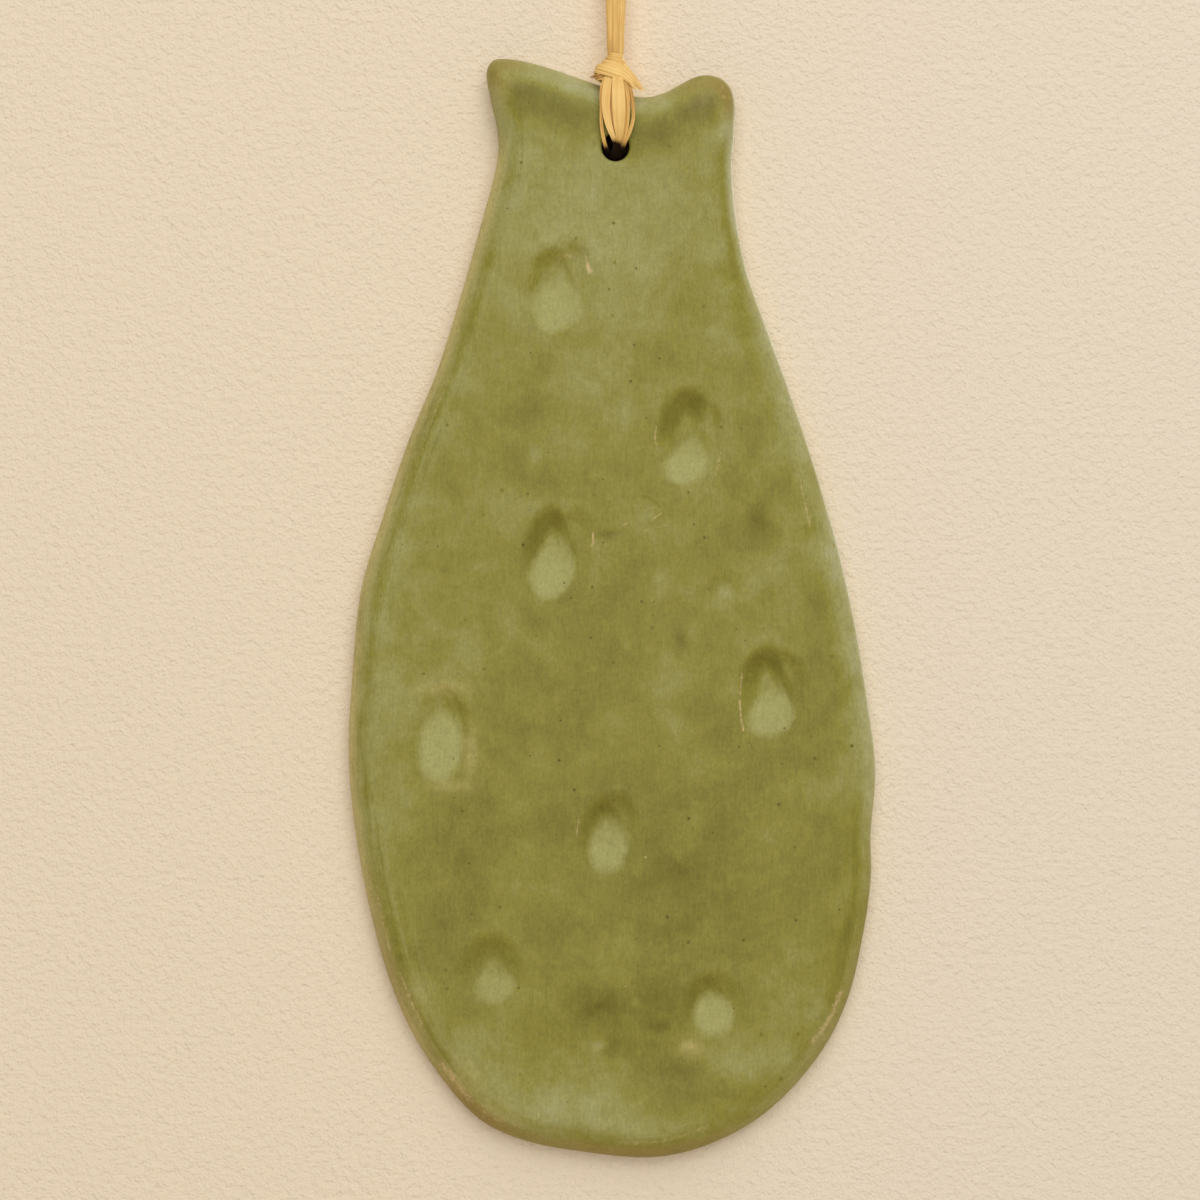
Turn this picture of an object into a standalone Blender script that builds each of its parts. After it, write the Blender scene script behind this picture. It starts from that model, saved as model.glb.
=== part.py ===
"""A glazed clay wall hanging in the shape of a prickly pear pad, on a loop of raffia.

Metres, +Z up. The origin is the hanging point, where a nail bears in the top of the raffia loop.
The glazed face looks along -Y and the flat back looks along +Y, at the wall.
The design values are in millimetres, and those of the pad are measured from the centre of its hole.
"""

import math

import bmesh
import bpy
import numpy as np
from mathutils import Vector
from mathutils.geometry import delaunay_2d_cdt

MM = 0.001

# Pad
HOLE_DROP = 50.0  # the hole's centre below the hanging point
BACK_Y = 2.8  # the flat back
FLOOR_THICK = 6.4  # clay from the back to the pressed face, away from the rim
SIDE_HEIGHT = 2.6  # where the rolled side is at its widest, above the back
BACK_BEVEL = 1.1
ROLL_LEFT = 4.6  # how far the rounded front edge reaches in, on the left and on the right
ROLL_RIGHT = 8.4
ROLL_SHIFT_X = (8.0, 44.0)  # between these the roll widens from its left to its right value
CREST_HEIGHT = 0.55  # the low swell of clay just inside the roll
CREST_INSET = 8.0
CREST_WIDTH = 5.0
HOLE_RADIUS = 2.45
MOUTH_RADIUS = 3.15  # the softened lip of the hole
HOLE_SIDES = 20
OUTLINE_STEP = 3.1
TURN_LENGTH = 7.0  # a radian of turn in the outline gets the points of this much of its length
FACE_STEP = 2.6
EDGE_SAMPLE = 0.12

# The pad's outline, clockwise from the tip of the left horn
OUTLINE = [
    (-20.6, 16.6), (-16.5, 16.1), (-11.5, 14.7), (-6.5, 13.0), (-1.5, 11.3), (2.5, 10.0),
    (5.8, 9.6), (9.0, 10.4), (12.0, 12.0), (15.0, 13.4), (17.8, 13.5), (20.3, 12.2),
    (21.7, 9.2), (21.7, 3.5), (21.3, -3.0), (21.9, -11.5), (23.8, -21.5), (27.2, -31.5),
    (31.4, -43.0), (35.9, -56.5), (40.3, -71.5), (43.4, -85.0), (45.8, -99.0), (47.4, -112.5),
    (46.6, -124.5), (46.6, -133.0), (45.1, -143.5), (42.3, -155.0), (37.0, -165.3), (28.1, -175.0),
    (18.0, -181.0), (7.0, -183.7), (-6.0, -182.7), (-17.0, -180.5), (-25.6, -176.1), (-34.0, -166.0),
    (-40.0, -154.5), (-44.4, -140.0), (-47.5, -123.5), (-48.6, -110.0), (-48.0, -96.5), (-46.4, -80.5),
    (-42.4, -67.0), (-37.7, -53.0), (-32.4, -40.0), (-28.0, -26.0), (-24.6, -14.0), (-21.8, -3.5),
    (-21.4, 2.5), (-22.6, 8.5), (-23.5, 13.6), (-22.6, 16.0),
]

# Fingertip presses: centre x and z, half width, half height, depth, lean in degrees
PRESSES = [
    (-9.8, -25.6, 6.2, 8.6, 2.0, 4),
    (13.4, -52.4, 6.0, 9.2, 2.1, 6),
    (-10.5, -73.6, 6.0, 8.7, 2.0, -4),
    (-31.6, -107.2, 5.6, 9.2, 1.9, 6),
    (28.2, -98.8, 6.1, 8.8, 2.2, -8),
    (-1.2, -125.4, 5.8, 8.2, 2.0, 3),
    (-23.0, -149.6, 5.9, 7.2, 1.7, 14),
    (18.0, -156.6, 5.8, 6.7, 1.7, -12),
]
PRESS_DEEPEST = 0.32  # how far above its centre a press is deepest, as a share of its half height
PRESS_LIP = 0.22
PRESS_RINGS = ((0.0, 1), (0.28, 8), (0.52, 12), (0.74, 16), (0.92, 20), (1.1, 22))

# Broad swells and hollows of the hand-patted face: centre x and z, reach in x and z, height
SWELLS = [
    (-4.0, -166.5, 24.0, 6.5, -0.55),
    (-2.0, -150.0, 17.0, 8.0, 0.4),
    (24.0, -130.0, 10.0, 16.0, 0.25),
    (-38.0, -84.0, 7.0, 22.0, -0.3),
    (2.0, -58.0, 14.0, 16.0, 0.25),
    (12.0, -84.0, 5.0, 4.0, -0.3),
    (25.8, -69.5, 4.5, 5.5, -0.35),
    (19.4, -79.9, 1.8, 2.2, -0.5),
    (-1.0, -10.0, 14.0, 9.0, -0.3),
]

# Raffia
STRAND_RADIUS = 0.72
NAIL_RADIUS = 2.3
LOOP_ROUTE = [  # the left strand from the knot's collar to the crown of the loop, from the hanging point
    (-0.87, -1.5, -32.0), (-0.93, -1.35, -28.0), (-1.12, -1.1, -22.0),
    (-1.55, -0.75, -15.0), (-2.2, -0.35, -8.5), (-2.85, -0.1, -4.2),
]
STRAND_STEP = 2.4
KNOT_RINGS = [  # height above the hole's centre, centre x, half width, half depth
    (12.45, -0.2, 2.3, 1.3), (12.9, -0.5, 3.3, 2.1), (13.4, -0.75, 4.1, 2.5), (13.9, -0.75, 3.8, 2.4),
    (14.3, -0.65, 3.75, 2.5), (14.8, -0.4, 3.1, 2.2), (15.2, -0.2, 2.75, 2.1), (15.7, 0.0, 1.8, 1.6),
    (16.1, 0.0, 1.45, 1.25), (16.8, 0.0, 1.6, 1.3), (17.6, 0.0, 1.5, 1.15),
]
KNOT_Y = -1.7
KNOT_SIDES = 16
TAILS = [  # half width, half thickness and route of each short end
    (0.75, 0.22, [(1.4, -2.4, 13.9), (3.1, -4.0, 13.2), (4.5, -4.8, 11.6), (5.5, -5.0, 9.8)]),
    (0.65, 0.22, [(-2.4, -2.8, 13.6), (-4.2, -3.6, 13.2), (-5.4, -4.1, 12.6)]),
]
SLING_ROUTE = [  # y, z, half width and half thickness of the band, from the knot through the hole
    (-3.9, 12.1, 2.1, 0.55), (-4.75, 10.6, 2.6, 0.5), (-5.15, 8.2, 3.0, 0.45), (-5.2, 5.6, 3.0, 0.45),
    (-5.1, 3.4, 2.6, 0.55), (-4.6, 1.7, 2.1, 0.8), (-3.5, 0.75, 1.75, 1.05), (-1.8, 0.55, 1.65, 1.1),
    (0.6, 0.5, 1.65, 1.0), (2.1, 0.7, 1.8, 0.8), (3.25, 1.8, 2.1, 0.5), (3.55, 3.8, 2.6, 0.36),
    (3.5, 8.0, 2.9, 0.36), (3.4, 10.4, 2.6, 0.38), (2.7, 12.2, 2.1, 0.45), (1.4, 12.9, 1.7, 0.5),
]
SLING_PLEATS = 3

GLAZE = ("glazed_clay", (0.27, 0.245, 0.065, 1.0), 0.48)
RAFFIA = ("raffia", (0.74, 0.47, 0.165, 1.0), 0.6)


def clear_scene():
    for old in list(bpy.data.objects):
        bpy.data.objects.remove(old, do_unlink=True)


def finish(name, look):
    """A Principled material of the given colour and roughness."""
    slot, colour, roughness = look
    material = bpy.data.materials.new(f"{slot}_{name}")
    material.use_nodes = True
    shader = material.node_tree.nodes["Principled BSDF"]
    shader.inputs["Base Color"].default_value = colour
    shader.inputs["Roughness"].default_value = roughness
    shader.inputs["Metallic"].default_value = 0.0
    return material


def solid(name, points, faces, look):
    """A closed, smooth-shaded object from points in millimetres, with its faces turned outwards."""
    mesh = bpy.data.meshes.new(name)
    mesh.from_pydata([tuple(float(v) * MM for v in p) for p in points], [], faces)
    shape = bmesh.new()
    shape.from_mesh(mesh)
    bmesh.ops.recalc_face_normals(shape, faces=shape.faces)
    bmesh.ops.triangulate(shape, faces=shape.faces)
    shape.to_mesh(mesh)
    shape.free()
    mesh.shade_smooth()
    mesh.set_sharp_from_angle(angle=math.radians(50))
    mesh.materials.append(finish(name, look))
    made = bpy.data.objects.new(name, mesh)
    bpy.context.scene.collection.objects.link(made)
    return made


def fuse(target, others):
    """Joins the others into the target as one body."""
    group = bpy.data.collections.new("joined_ends")
    bpy.context.scene.collection.children.link(group)
    for other in others:
        group.objects.link(other)
    union = target.modifiers.new("join", "BOOLEAN")
    union.operation = "UNION"
    union.operand_type = "COLLECTION"
    union.collection = group
    union.solver = "EXACT"
    evaluated = target.evaluated_get(bpy.context.evaluated_depsgraph_get())
    joined = bpy.data.meshes.new_from_object(evaluated)
    target.modifiers.clear()
    target.data = joined
    for other in others:
        bpy.data.objects.remove(other, do_unlink=True)
    bpy.data.collections.remove(group)


def through(points, step, closed):
    """Points at an even step along the smooth curve that runs through the given ones."""
    given = np.array(points, dtype=float)
    count = len(given)
    spans = count if closed else count - 1
    fine = []
    for i in range(spans):
        if closed:
            a, b, c, d = given[i - 1], given[i], given[(i + 1) % count], given[(i + 2) % count]
        else:
            b, c = given[i], given[i + 1]
            a = given[i - 1] if i else 2 * b - c
            d = given[i + 2] if i + 2 < count else 2 * c - b
        for t in np.arange(0.0, 1.0, 0.02):
            fine.append(
                0.5 * (2 * b + (c - a) * t + (2 * a - 5 * b + 4 * c - d) * t**2
                       + (3 * b - a - 3 * c + d) * t**3)
            )
    fine.append(given[0] if closed else given[-1])
    fine = np.array(fine)
    along = np.concatenate([[0.0], np.cumsum(np.linalg.norm(np.diff(fine, axis=0), axis=1))])
    pieces = max(2, round(along[-1] / step))
    wanted = np.linspace(0.0, along[-1], pieces + 1)
    even = np.stack([np.interp(wanted, along, fine[:, k]) for k in range(fine.shape[1])], axis=1)
    return even[:-1] if closed else even


def outline_points():
    """The outline's points, closer together where it turns."""
    run = np.roll(EDGE, -1, axis=0) - EDGE
    heading = np.unwrap(np.arctan2(run[:, 1], run[:, 0]))
    smooth = np.convolve(np.abs(np.diff(heading, prepend=heading[0])), np.ones(31) / 31, mode="same")
    share = np.concatenate([[0.0], np.cumsum(EDGE_SAMPLE + TURN_LENGTH * smooth)])
    count = round(share[-1] / OUTLINE_STEP)
    places = np.interp(np.arange(count) * share[-1] / count, share, np.arange(len(share)))
    return EDGE[places.astype(int) % len(EDGE)]


def inward(loop):
    """The unit normals of a clockwise loop, pointing into it."""
    run = np.roll(loop, -1, axis=0) - np.roll(loop, 1, axis=0)
    run /= np.linalg.norm(run, axis=1, keepdims=True)
    return np.stack([run[:, 1], -run[:, 0]], axis=1)


EDGE = through(OUTLINE, EDGE_SAMPLE, closed=True)


def edge_distance(points):
    """How far in from the edge each point is, blended where two stretches of edge are near.

    Along a straight edge the sum of 1/r^4 is pi / (2 d^3), so this returns d itself there.
    """
    found = []
    for start in range(0, len(points), 2000):
        some = points[start : start + 2000]
        square = ((some[:, None, :] - EDGE[None, :, :]) ** 2).sum(axis=2)
        total = (EDGE_SAMPLE / np.maximum(square, 1e-4) ** 2).sum(axis=1)
        found.append((math.pi / 2 / total) ** (1 / 3))
    return np.concatenate(found)


def press(points, spec):
    """The height that one fingertip takes from the face, with its low lip of pushed-up clay."""
    x, z, half_width, half_height, depth, lean = spec
    turn = math.radians(lean)
    dx, dz = points[:, 0] - x, points[:, 1] - z
    across = (dx * math.cos(turn) - dz * math.sin(turn)) / half_width
    up = (dx * math.sin(turn) + dz * math.cos(turn)) / half_height
    reach = np.where(up > PRESS_DEEPEST, 1 - PRESS_DEEPEST, 1 + PRESS_DEEPEST)
    radius = np.sqrt(across**2 + ((up - PRESS_DEEPEST) / reach) ** 2)
    bowl = np.clip(1 - radius**2, 0, 1) ** 1.35
    lip = PRESS_LIP * np.exp(-(((radius - 1.08) / 0.2) ** 2))
    return lip - depth * bowl


def face_height(points, inset):
    """The pressed face's height above the flat back."""
    low, high = ROLL_SHIFT_X
    roll = ROLL_LEFT + (ROLL_RIGHT - ROLL_LEFT) * np.clip((points[:, 0] - low) / (high - low), 0, 1)
    rounded = np.sqrt(1 - (1 - np.clip(inset / roll, 0, 1)) ** 2)
    level = FLOOR_THICK + CREST_HEIGHT * np.exp(-(((inset - CREST_INSET) / CREST_WIDTH) ** 2))
    for x, z, reach_x, reach_z, height in SWELLS:
        level += height * np.exp(-(((points[:, 0] - x) / reach_x) ** 2)
                                 - ((points[:, 1] - z) / reach_z) ** 2)
    for spec in PRESSES:
        level += press(points, spec)
    return SIDE_HEIGHT + (level - SIDE_HEIGHT) * rounded


def ring_around(centre, radius, sides):
    return np.array([
        (centre[0] + radius * math.cos(math.tau * k / sides), centre[1] + radius * math.sin(math.tau * k / sides))
        for k in range(sides)
    ])


def face_points(inset_limit):
    """An even triangular grid over the face, closer and in rings where it is pressed."""
    low, high = EDGE.min(axis=0), EDGE.max(axis=0)
    row = FACE_STEP * math.sqrt(3) / 2
    grid = np.array([
        (x + (j % 2) * FACE_STEP / 2, z)
        for j, z in enumerate(np.arange(low[1], high[1], row))
        for x in np.arange(low[0], high[0], FACE_STEP)
    ])
    grid = grid[inside(grid)]
    keep = edge_distance(grid) > inset_limit
    keep &= np.linalg.norm(grid, axis=1) > MOUTH_RADIUS + FACE_STEP * 0.5
    for x, z, half_width, half_height, _, _ in PRESSES:
        keep &= ((grid[:, 0] - x) / half_width) ** 2 + ((grid[:, 1] - z) / half_height) ** 2 > 1.25**2
    rings = []
    for x, z, half_width, half_height, _, lean in PRESSES:
        turn = math.radians(lean)
        for share, count in PRESS_RINGS:
            for k in range(count):
                angle = math.tau * (k + 0.5) / count
                across = share * half_width * math.cos(angle)
                up = share * half_height * math.sin(angle)
                rings.append((
                    x + across * math.cos(turn) + up * math.sin(turn),
                    z - across * math.sin(turn) + up * math.cos(turn),
                ))
    return np.concatenate([grid[keep], np.array(rings)])


def inside(points):
    """Which points lie inside the outline, by the winding of the edge round them."""
    coarse = EDGE[::8]
    winding = np.zeros(len(points))
    for a, b in zip(coarse, np.roll(coarse, -1, axis=0)):
        first, second = a - points, b - points
        winding += np.arctan2(
            first[:, 0] * second[:, 1] - first[:, 1] * second[:, 0], (first * second).sum(axis=1)
        )
    return np.abs(winding) > math.pi


def strip(first, second, count):
    """Quads between two rings of points, given by their first numbers."""
    return [
        (first + k, first + (k + 1) % count, second + (k + 1) % count, second + k) for k in range(count)
    ]


def cap(outer_start, outer, hole_start, hole, free_start, free):
    """Triangles that fill the face between an outer ring and a hole, through the free points."""
    coordinates = [Vector(p) for p in np.concatenate([outer, hole, free])]
    edges = [(k, (k + 1) % len(outer)) for k in range(len(outer))]
    edges += [(len(outer) + k, len(outer) + (k + 1) % len(hole)) for k in range(len(hole))]
    _, _, triangles, origins, _, _ = delaunay_2d_cdt(coordinates, edges, [], 1, 1e-6)
    starts = [outer_start + k for k in range(len(outer))]
    starts += [hole_start + k for k in range(len(hole))]
    starts += [free_start + k for k in range(len(free))]
    lowest, highest = len(outer), len(outer) + len(hole)
    faces = []
    for triangle in triangles:
        corners = [origins[v][0] for v in triangle]
        if not all(lowest <= c < highest for c in corners):
            faces.append([starts[c] for c in corners])
    return faces


def make_pad():
    """The slab of clay: rolled edge, pressed face, flat back and the hole that it hangs by."""
    outline = outline_points()
    normal = inward(outline)
    sides = len(outline)
    points, faces = [], []

    def add(flat, height):
        start = len(points)
        heights = np.broadcast_to(height, len(flat))
        points.extend((x, BACK_Y - h, z - HOLE_DROP) for (x, z), h in zip(flat, heights))
        return start

    back = outline + BACK_BEVEL * normal
    rings = [add(back, 0.0), add(outline + 0.3 * normal, 0.7), add(outline, 1.7), add(outline, SIDE_HEIGHT)]
    for inset in (0.3, 0.9, 1.9):
        edge = outline + inset * normal
        rings.append(add(edge, face_height(edge, edge_distance(edge))))
    for first, second in zip(rings, rings[1:]):
        faces += strip(first, second, sides)

    mouth = ring_around((0, 0), MOUTH_RADIUS, HOLE_SIDES)
    bore = ring_around((0, 0), HOLE_RADIUS, HOLE_SIDES)
    lip_height = face_height(mouth, edge_distance(mouth))
    bore_rings = [
        add(mouth, lip_height),
        add(ring_around((0, 0), HOLE_RADIUS + 0.2, HOLE_SIDES), lip_height - 0.25),
        add(bore, lip_height - 0.8),
        add(bore, 0.5),
        add(ring_around((0, 0), HOLE_RADIUS + 0.35, HOLE_SIDES), 0.0),
    ]
    for first, second in zip(bore_rings, bore_rings[1:]):
        faces += strip(first, second, HOLE_SIDES)

    free = face_points(inset_limit=3.0)
    free_start = add(free, face_height(free, edge_distance(free)))
    faces += cap(rings[-1], edge, bore_rings[0], mouth, free_start, free)
    back_hole = ring_around((0, 0), HOLE_RADIUS + 0.35, HOLE_SIDES)
    faces += cap(rings[0], back, bore_rings[-1], back_hole, 0, np.zeros((0, 2)))
    return solid("pad", points, faces, GLAZE)


def sweep(sections):
    """Points and faces of a closed solid through a list of sections with equal counts of points."""
    count = len(sections[0])
    points = [p for section in sections for p in section]
    faces = []
    for row in range(len(sections) - 1):
        faces += strip(row * count, (row + 1) * count, count)
    faces.append(list(range(count)))
    faces.append(list(range(len(points) - count, len(points))))
    return points, faces


def make_sling():
    """The band of raffia that runs down the face, through the hole and up the back."""
    band = through(SLING_ROUTE, 1.1, closed=False)
    sections = []
    for k, (y, z, half_width, half_thick) in enumerate(band):
        before, after = band[max(k - 1, 0)], band[min(k + 1, len(band) - 1)]
        run = (after - before)[:2]
        run /= np.linalg.norm(run)
        off = np.array([run[1], -run[0]])
        section = []
        sides = 8 * SLING_PLEATS
        for step in range(sides):
            angle = math.tau * step / sides
            across = math.cos(angle)
            pleat = 0.72 + 0.28 * abs(math.cos(math.pi * SLING_PLEATS * (across + 1) / 2 - math.pi / 2))
            rise = half_thick * pleat * math.copysign(abs(math.sin(angle)) ** 0.7, math.sin(angle))
            section.append((half_width * across, y + off[0] * rise, z - HOLE_DROP + off[1] * rise))
        sections.append(section)
    return solid("raffia_sling", *sweep(sections), RAFFIA)


def make_tail(half_width, half_thick, route):
    """A short flat end of raffia that tapers as it leaves the knot."""
    line = through(route, 0.9, closed=False)
    sections = []
    for k, point in enumerate(line):
        before, after = line[max(k - 1, 0)], line[min(k + 1, len(line) - 1)]
        run = Vector(after - before).normalized()
        side = run.cross(Vector((0, 1, 0))).normalized()
        off = side.cross(run)
        width = half_width * (1 - 0.35 * k / (len(line) - 1))
        corners = [(1, 0), (0.6, 1), (-0.6, 1), (-1, 0), (-0.6, -1), (0.6, -1)]
        centre = Vector(point) - Vector((0, 0, HOLE_DROP))
        sections.append([centre + side * (a * width) + off * (b * half_thick) for a, b in corners])
    return solid("tail", *sweep(sections), RAFFIA)


def make_knot():
    """The knot that sits on the pad's top edge, with its wraps as ridges and its two short ends."""
    rings = through(KNOT_RINGS, 0.42, closed=False)
    sections = [
        [
            (x + half_width * math.cos(math.tau * k / KNOT_SIDES),
             KNOT_Y + half_depth * math.sin(math.tau * k / KNOT_SIDES),
             z - HOLE_DROP)
            for k in range(KNOT_SIDES)
        ]
        for z, x, half_width, half_depth in rings
    ]
    knot = solid("raffia_knot", *sweep(sections), RAFFIA)
    fuse(knot, [make_tail(*tail) for tail in TAILS])
    return knot


def loop_route():
    """The strand's centre line: up the left side, over the nail and down the right side."""
    crown = NAIL_RADIUS + STRAND_RADIUS
    over = [
        (-crown * math.cos(angle), 0.0, crown * math.sin(angle) - NAIL_RADIUS)
        for angle in (math.pi * k / 6 for k in range(7))
    ]
    down = [(-x, y, z) for x, y, z in reversed(LOOP_ROUTE)]
    return through(LOOP_ROUTE + over + down, STRAND_STEP, closed=False)


def make_hanger():
    """The loop of raffia that goes over the nail, both ends standing on the knot."""
    route = loop_route()
    curve = bpy.data.curves.new("raffia_hanger", "CURVE")
    curve.dimensions = "3D"
    curve.bevel_depth = STRAND_RADIUS * MM
    curve.bevel_resolution = 2
    curve.use_fill_caps = True
    line = curve.splines.new("POLY")
    line.points.add(len(route) - 1)
    for place, (x, y, z) in zip(line.points, route):
        place.co = (x * MM, y * MM, z * MM, 1.0)
    line.use_smooth = True
    curve.materials.append(finish("raffia_hanger", RAFFIA))
    hanger = bpy.data.objects.new("raffia_hanger", curve)
    bpy.context.scene.collection.objects.link(hanger)
    return hanger


def main():
    clear_scene()
    make_pad()
    make_sling()
    make_knot()
    make_hanger()


main()
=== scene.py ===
"""The finish of a glazed clay wall hanging in the shape of a prickly pear pad, hung on raffia.

Each piece has an operator in the sidebar of the 3D view, under Hanging, and its sizes and colours beside
it. Lengths inside the functions are millimetres. Flat places on the pad are (x, z) from the centre of its
hole, and everything is turned into metres in the frame of the hanging when its mesh is made.
"""

import math

import bmesh
import bpy
import numpy as np
from bpy.props import FloatProperty, FloatVectorProperty, IntProperty, PointerProperty
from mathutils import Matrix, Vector
from mathutils.geometry import delaunay_2d_cdt


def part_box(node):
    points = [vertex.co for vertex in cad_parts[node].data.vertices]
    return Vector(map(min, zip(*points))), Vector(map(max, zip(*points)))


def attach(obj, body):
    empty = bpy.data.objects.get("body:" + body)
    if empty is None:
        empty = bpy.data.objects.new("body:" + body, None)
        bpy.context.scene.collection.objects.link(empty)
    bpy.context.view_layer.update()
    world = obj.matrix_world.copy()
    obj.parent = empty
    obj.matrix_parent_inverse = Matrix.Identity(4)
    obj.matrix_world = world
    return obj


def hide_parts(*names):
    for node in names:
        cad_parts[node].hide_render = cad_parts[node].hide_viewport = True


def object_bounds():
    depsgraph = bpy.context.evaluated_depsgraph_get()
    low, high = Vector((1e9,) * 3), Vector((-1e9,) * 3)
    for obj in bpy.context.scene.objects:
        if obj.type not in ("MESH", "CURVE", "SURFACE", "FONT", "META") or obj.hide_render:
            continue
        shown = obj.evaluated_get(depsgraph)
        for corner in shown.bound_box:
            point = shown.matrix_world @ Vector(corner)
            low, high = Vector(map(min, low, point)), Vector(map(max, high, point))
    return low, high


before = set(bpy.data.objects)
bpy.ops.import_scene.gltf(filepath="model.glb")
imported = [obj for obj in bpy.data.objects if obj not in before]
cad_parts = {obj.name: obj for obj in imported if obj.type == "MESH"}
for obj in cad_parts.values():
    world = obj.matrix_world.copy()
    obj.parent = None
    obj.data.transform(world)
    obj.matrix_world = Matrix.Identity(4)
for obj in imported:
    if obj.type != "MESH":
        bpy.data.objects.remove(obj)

bl_info = {
    "name": "Pressed clay wall hanging",
    "version": (1, 0, 0),
    "blender": (4, 5, 0),
    "location": "3D View > Sidebar > Hanging",
    "description": "A glazed clay pad with fingertip presses, its raffia and a wall to hang it on",
    "category": "Object",
}

MM = 0.001
BODY = "root"
CAD_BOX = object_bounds()
BACK_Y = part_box("pad")[1][1] / MM  # the pad's flat back
HOLE_DROP = 50.0  # the hole's centre below the hanging point

# ------------------------------------------------------------------ the clay pad's form

FLOOR_THICK = 6.4  # clay from the back to the pressed face, away from the rim
SIDE_HEIGHT = 2.6  # where the rolled side is at its widest, above the back
ROLL_LEFT = 4.6  # how far the rounded front edge reaches in, on the left and on the right
ROLL_RIGHT = 8.4
ROLL_SHIFT_X = (8.0, 44.0)  # between these the roll changes from its left to its right form
ROLL_BLUFF_LEFT = 1.5  # 1 is a straight bevel and 2 a quarter round
ROLL_BLUFF_RIGHT = 2.0
ROLL_WAVES = ((0.12, 15.0, 1.0), (0.07, 5.3, 0.0))  # share of the reach, length along the edge, and start
CREST_HEIGHT = 0.55  # the low swell of clay just inside the roll
CREST_INSET = 8.0
CREST_WIDTH = 5.0
HOLE_RADIUS = 2.45
MOUTH_RADIUS = 3.15  # the softened lip of the hole
HOLE_SIDES = 72
EDGE_SAMPLE = 0.12

# The rings of the pad's side, by inset from the outline and height above the back, and those of the face
SIDE_RINGS = (
    (1.9, 0.0), (1.5, 0.0), (1.1, 0.05), (0.72, 0.25),
    (0.36, 0.7), (0.1, 1.3), (0.0, 2.0), (0.0, SIDE_HEIGHT),
)
FACE_RINGS = (0.06, 0.18, 0.36, 0.6, 0.9, 1.25, 1.6, 1.95)
# The rings of the hole: those of its lip, by spread and drop, then heights in the bore, and the back's spread
LIP_RINGS = ((0.42, 0.08), (0.2, 0.25), (0.06, 0.5), (0.0, 0.8))
BORE_HEIGHTS = (4.0, 2.2, 0.5)
BACK_LIP = 0.35
# The free points of the face and of the back keep clear of the edge and of the hole's mouth by this much
FACE_CLEAR = (2.35, 0.4)
BACK_CLEAR = (2.9, 1.5)
BACK_STEP = 2.5

# The pad's outline, clockwise from the tip of the left horn
OUTLINE = [
    (-20.6, 16.6), (-16.5, 16.1), (-11.5, 14.7), (-6.5, 13.0), (-1.5, 11.3), (2.5, 10.0),
    (5.8, 9.6), (9.0, 10.4), (12.0, 12.0), (15.0, 13.4), (17.8, 13.5), (20.3, 12.2),
    (21.7, 9.2), (21.7, 3.5), (21.3, -3.0), (21.9, -11.5), (23.8, -21.5), (27.2, -31.5),
    (31.4, -43.0), (35.9, -56.5), (40.3, -71.5), (43.4, -85.0), (45.8, -99.0), (47.4, -112.5),
    (46.6, -124.5), (46.6, -133.0), (45.1, -143.5), (42.3, -155.0), (37.0, -165.3), (28.1, -175.0),
    (18.0, -181.0), (7.0, -183.7), (-6.0, -182.7), (-17.0, -180.5), (-25.6, -176.1), (-34.0, -166.0),
    (-40.0, -154.5), (-44.4, -140.0), (-47.5, -123.5), (-48.6, -110.0), (-48.0, -96.5), (-46.4, -80.5),
    (-42.4, -67.0), (-37.7, -53.0), (-32.4, -40.0), (-28.0, -26.0), (-24.6, -14.0), (-21.8, -3.5),
    (-21.4, 2.5), (-22.6, 8.5), (-23.5, 13.6), (-22.6, 16.0),
]

TOP_LINE = np.array(OUTLINE[:13])  # from the left horn to the right one

# Fingertip presses. Each has its touches: centre x and z, half width, half height, depth, lean, and how
# steep and how soft-edged the walls are. Then comes the pale patch on its floor, paler glaze with a painted
# sheen where the floor faces up to the light: centre x and z, half width, half height, how much it narrows
# upward, how far its top is shifted, and its share. Last is the darker tone in its roof: painted shade where
# the roof faces away from the light, with some pooled glaze.
PRESSES = [
    ([(-10.8, -26.0, 5.4, 8.6, 1.7, 0, 0.6, 1.0), (-8.4, -24.8, 5.4, 8.4, 1.0, 4, 0.36, 0.9)],
     (-11.2, -28.6, 5.6, 5.9, -0.1, 0.3, 0.95), 0.14),
    ([(12.7, -52.6, 5.5, 9.3, 2.0, 3, 0.5, 0.6), (16.4, -53.8, 3.8, 7.4, 0.7, 6, 0.5, 0.7)],
     (12.6, -56.6, 4.4, 5.9, 0.35, 1.8, 0.95), 0.16),
    ([(-11.8, -73.8, 5.1, 8.8, 2.0, 2, 0.5, 0.6), (-7.5, -70.0, 3.5, 4.4, 0.4, -8, 0.5, 0.8)],
     (-11.6, -76.1, 5.1, 7.3, 0.3, 1.2, 0.9), 0.18),
    ([(-31.5, -106.9, 5.7, 9.2, 1.1, 2, 0.5, 1.0)],
     (-32.0, -108.1, 5.0, 7.9, 0.2, 0.8, 1.0), 0.02),
    ([(27.7, -99.2, 5.6, 9.0, 2.1, -3, 0.5, 0.5), (31.2, -97.0, 3.4, 5.8, 0.7, -12, 0.6, 0.6)],
     (28.1, -101.8, 4.8, 5.9, 0.5, 1.0, 0.95), 0.2),
    ([(-1.9, -125.6, 4.9, 8.0, 1.5, 0, 0.5, 0.5), (-0.1, -125.2, 4.6, 8.0, 0.5, 6, 0.5, 0.6)],
     (-1.5, -126.3, 4.4, 6.3, 0.1, 0.3, 0.85), 0.05),
    ([(-22.8, -149.4, 5.8, 6.9, 1.3, 12, 0.34, 0.6)],
     (-21.9, -151.3, 4.5, 5.3, 0.6, -0.3, 0.66), 0.08),
    ([(17.3, -156.2, 5.0, 6.4, 1.2, -8, 0.45, 0.5), (19.0, -156.0, 4.6, 6.2, 0.6, -12, 0.45, 0.6)],
     (17.5, -156.9, 4.4, 5.2, 0.1, -0.3, 0.95), 0.02),
]
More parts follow.
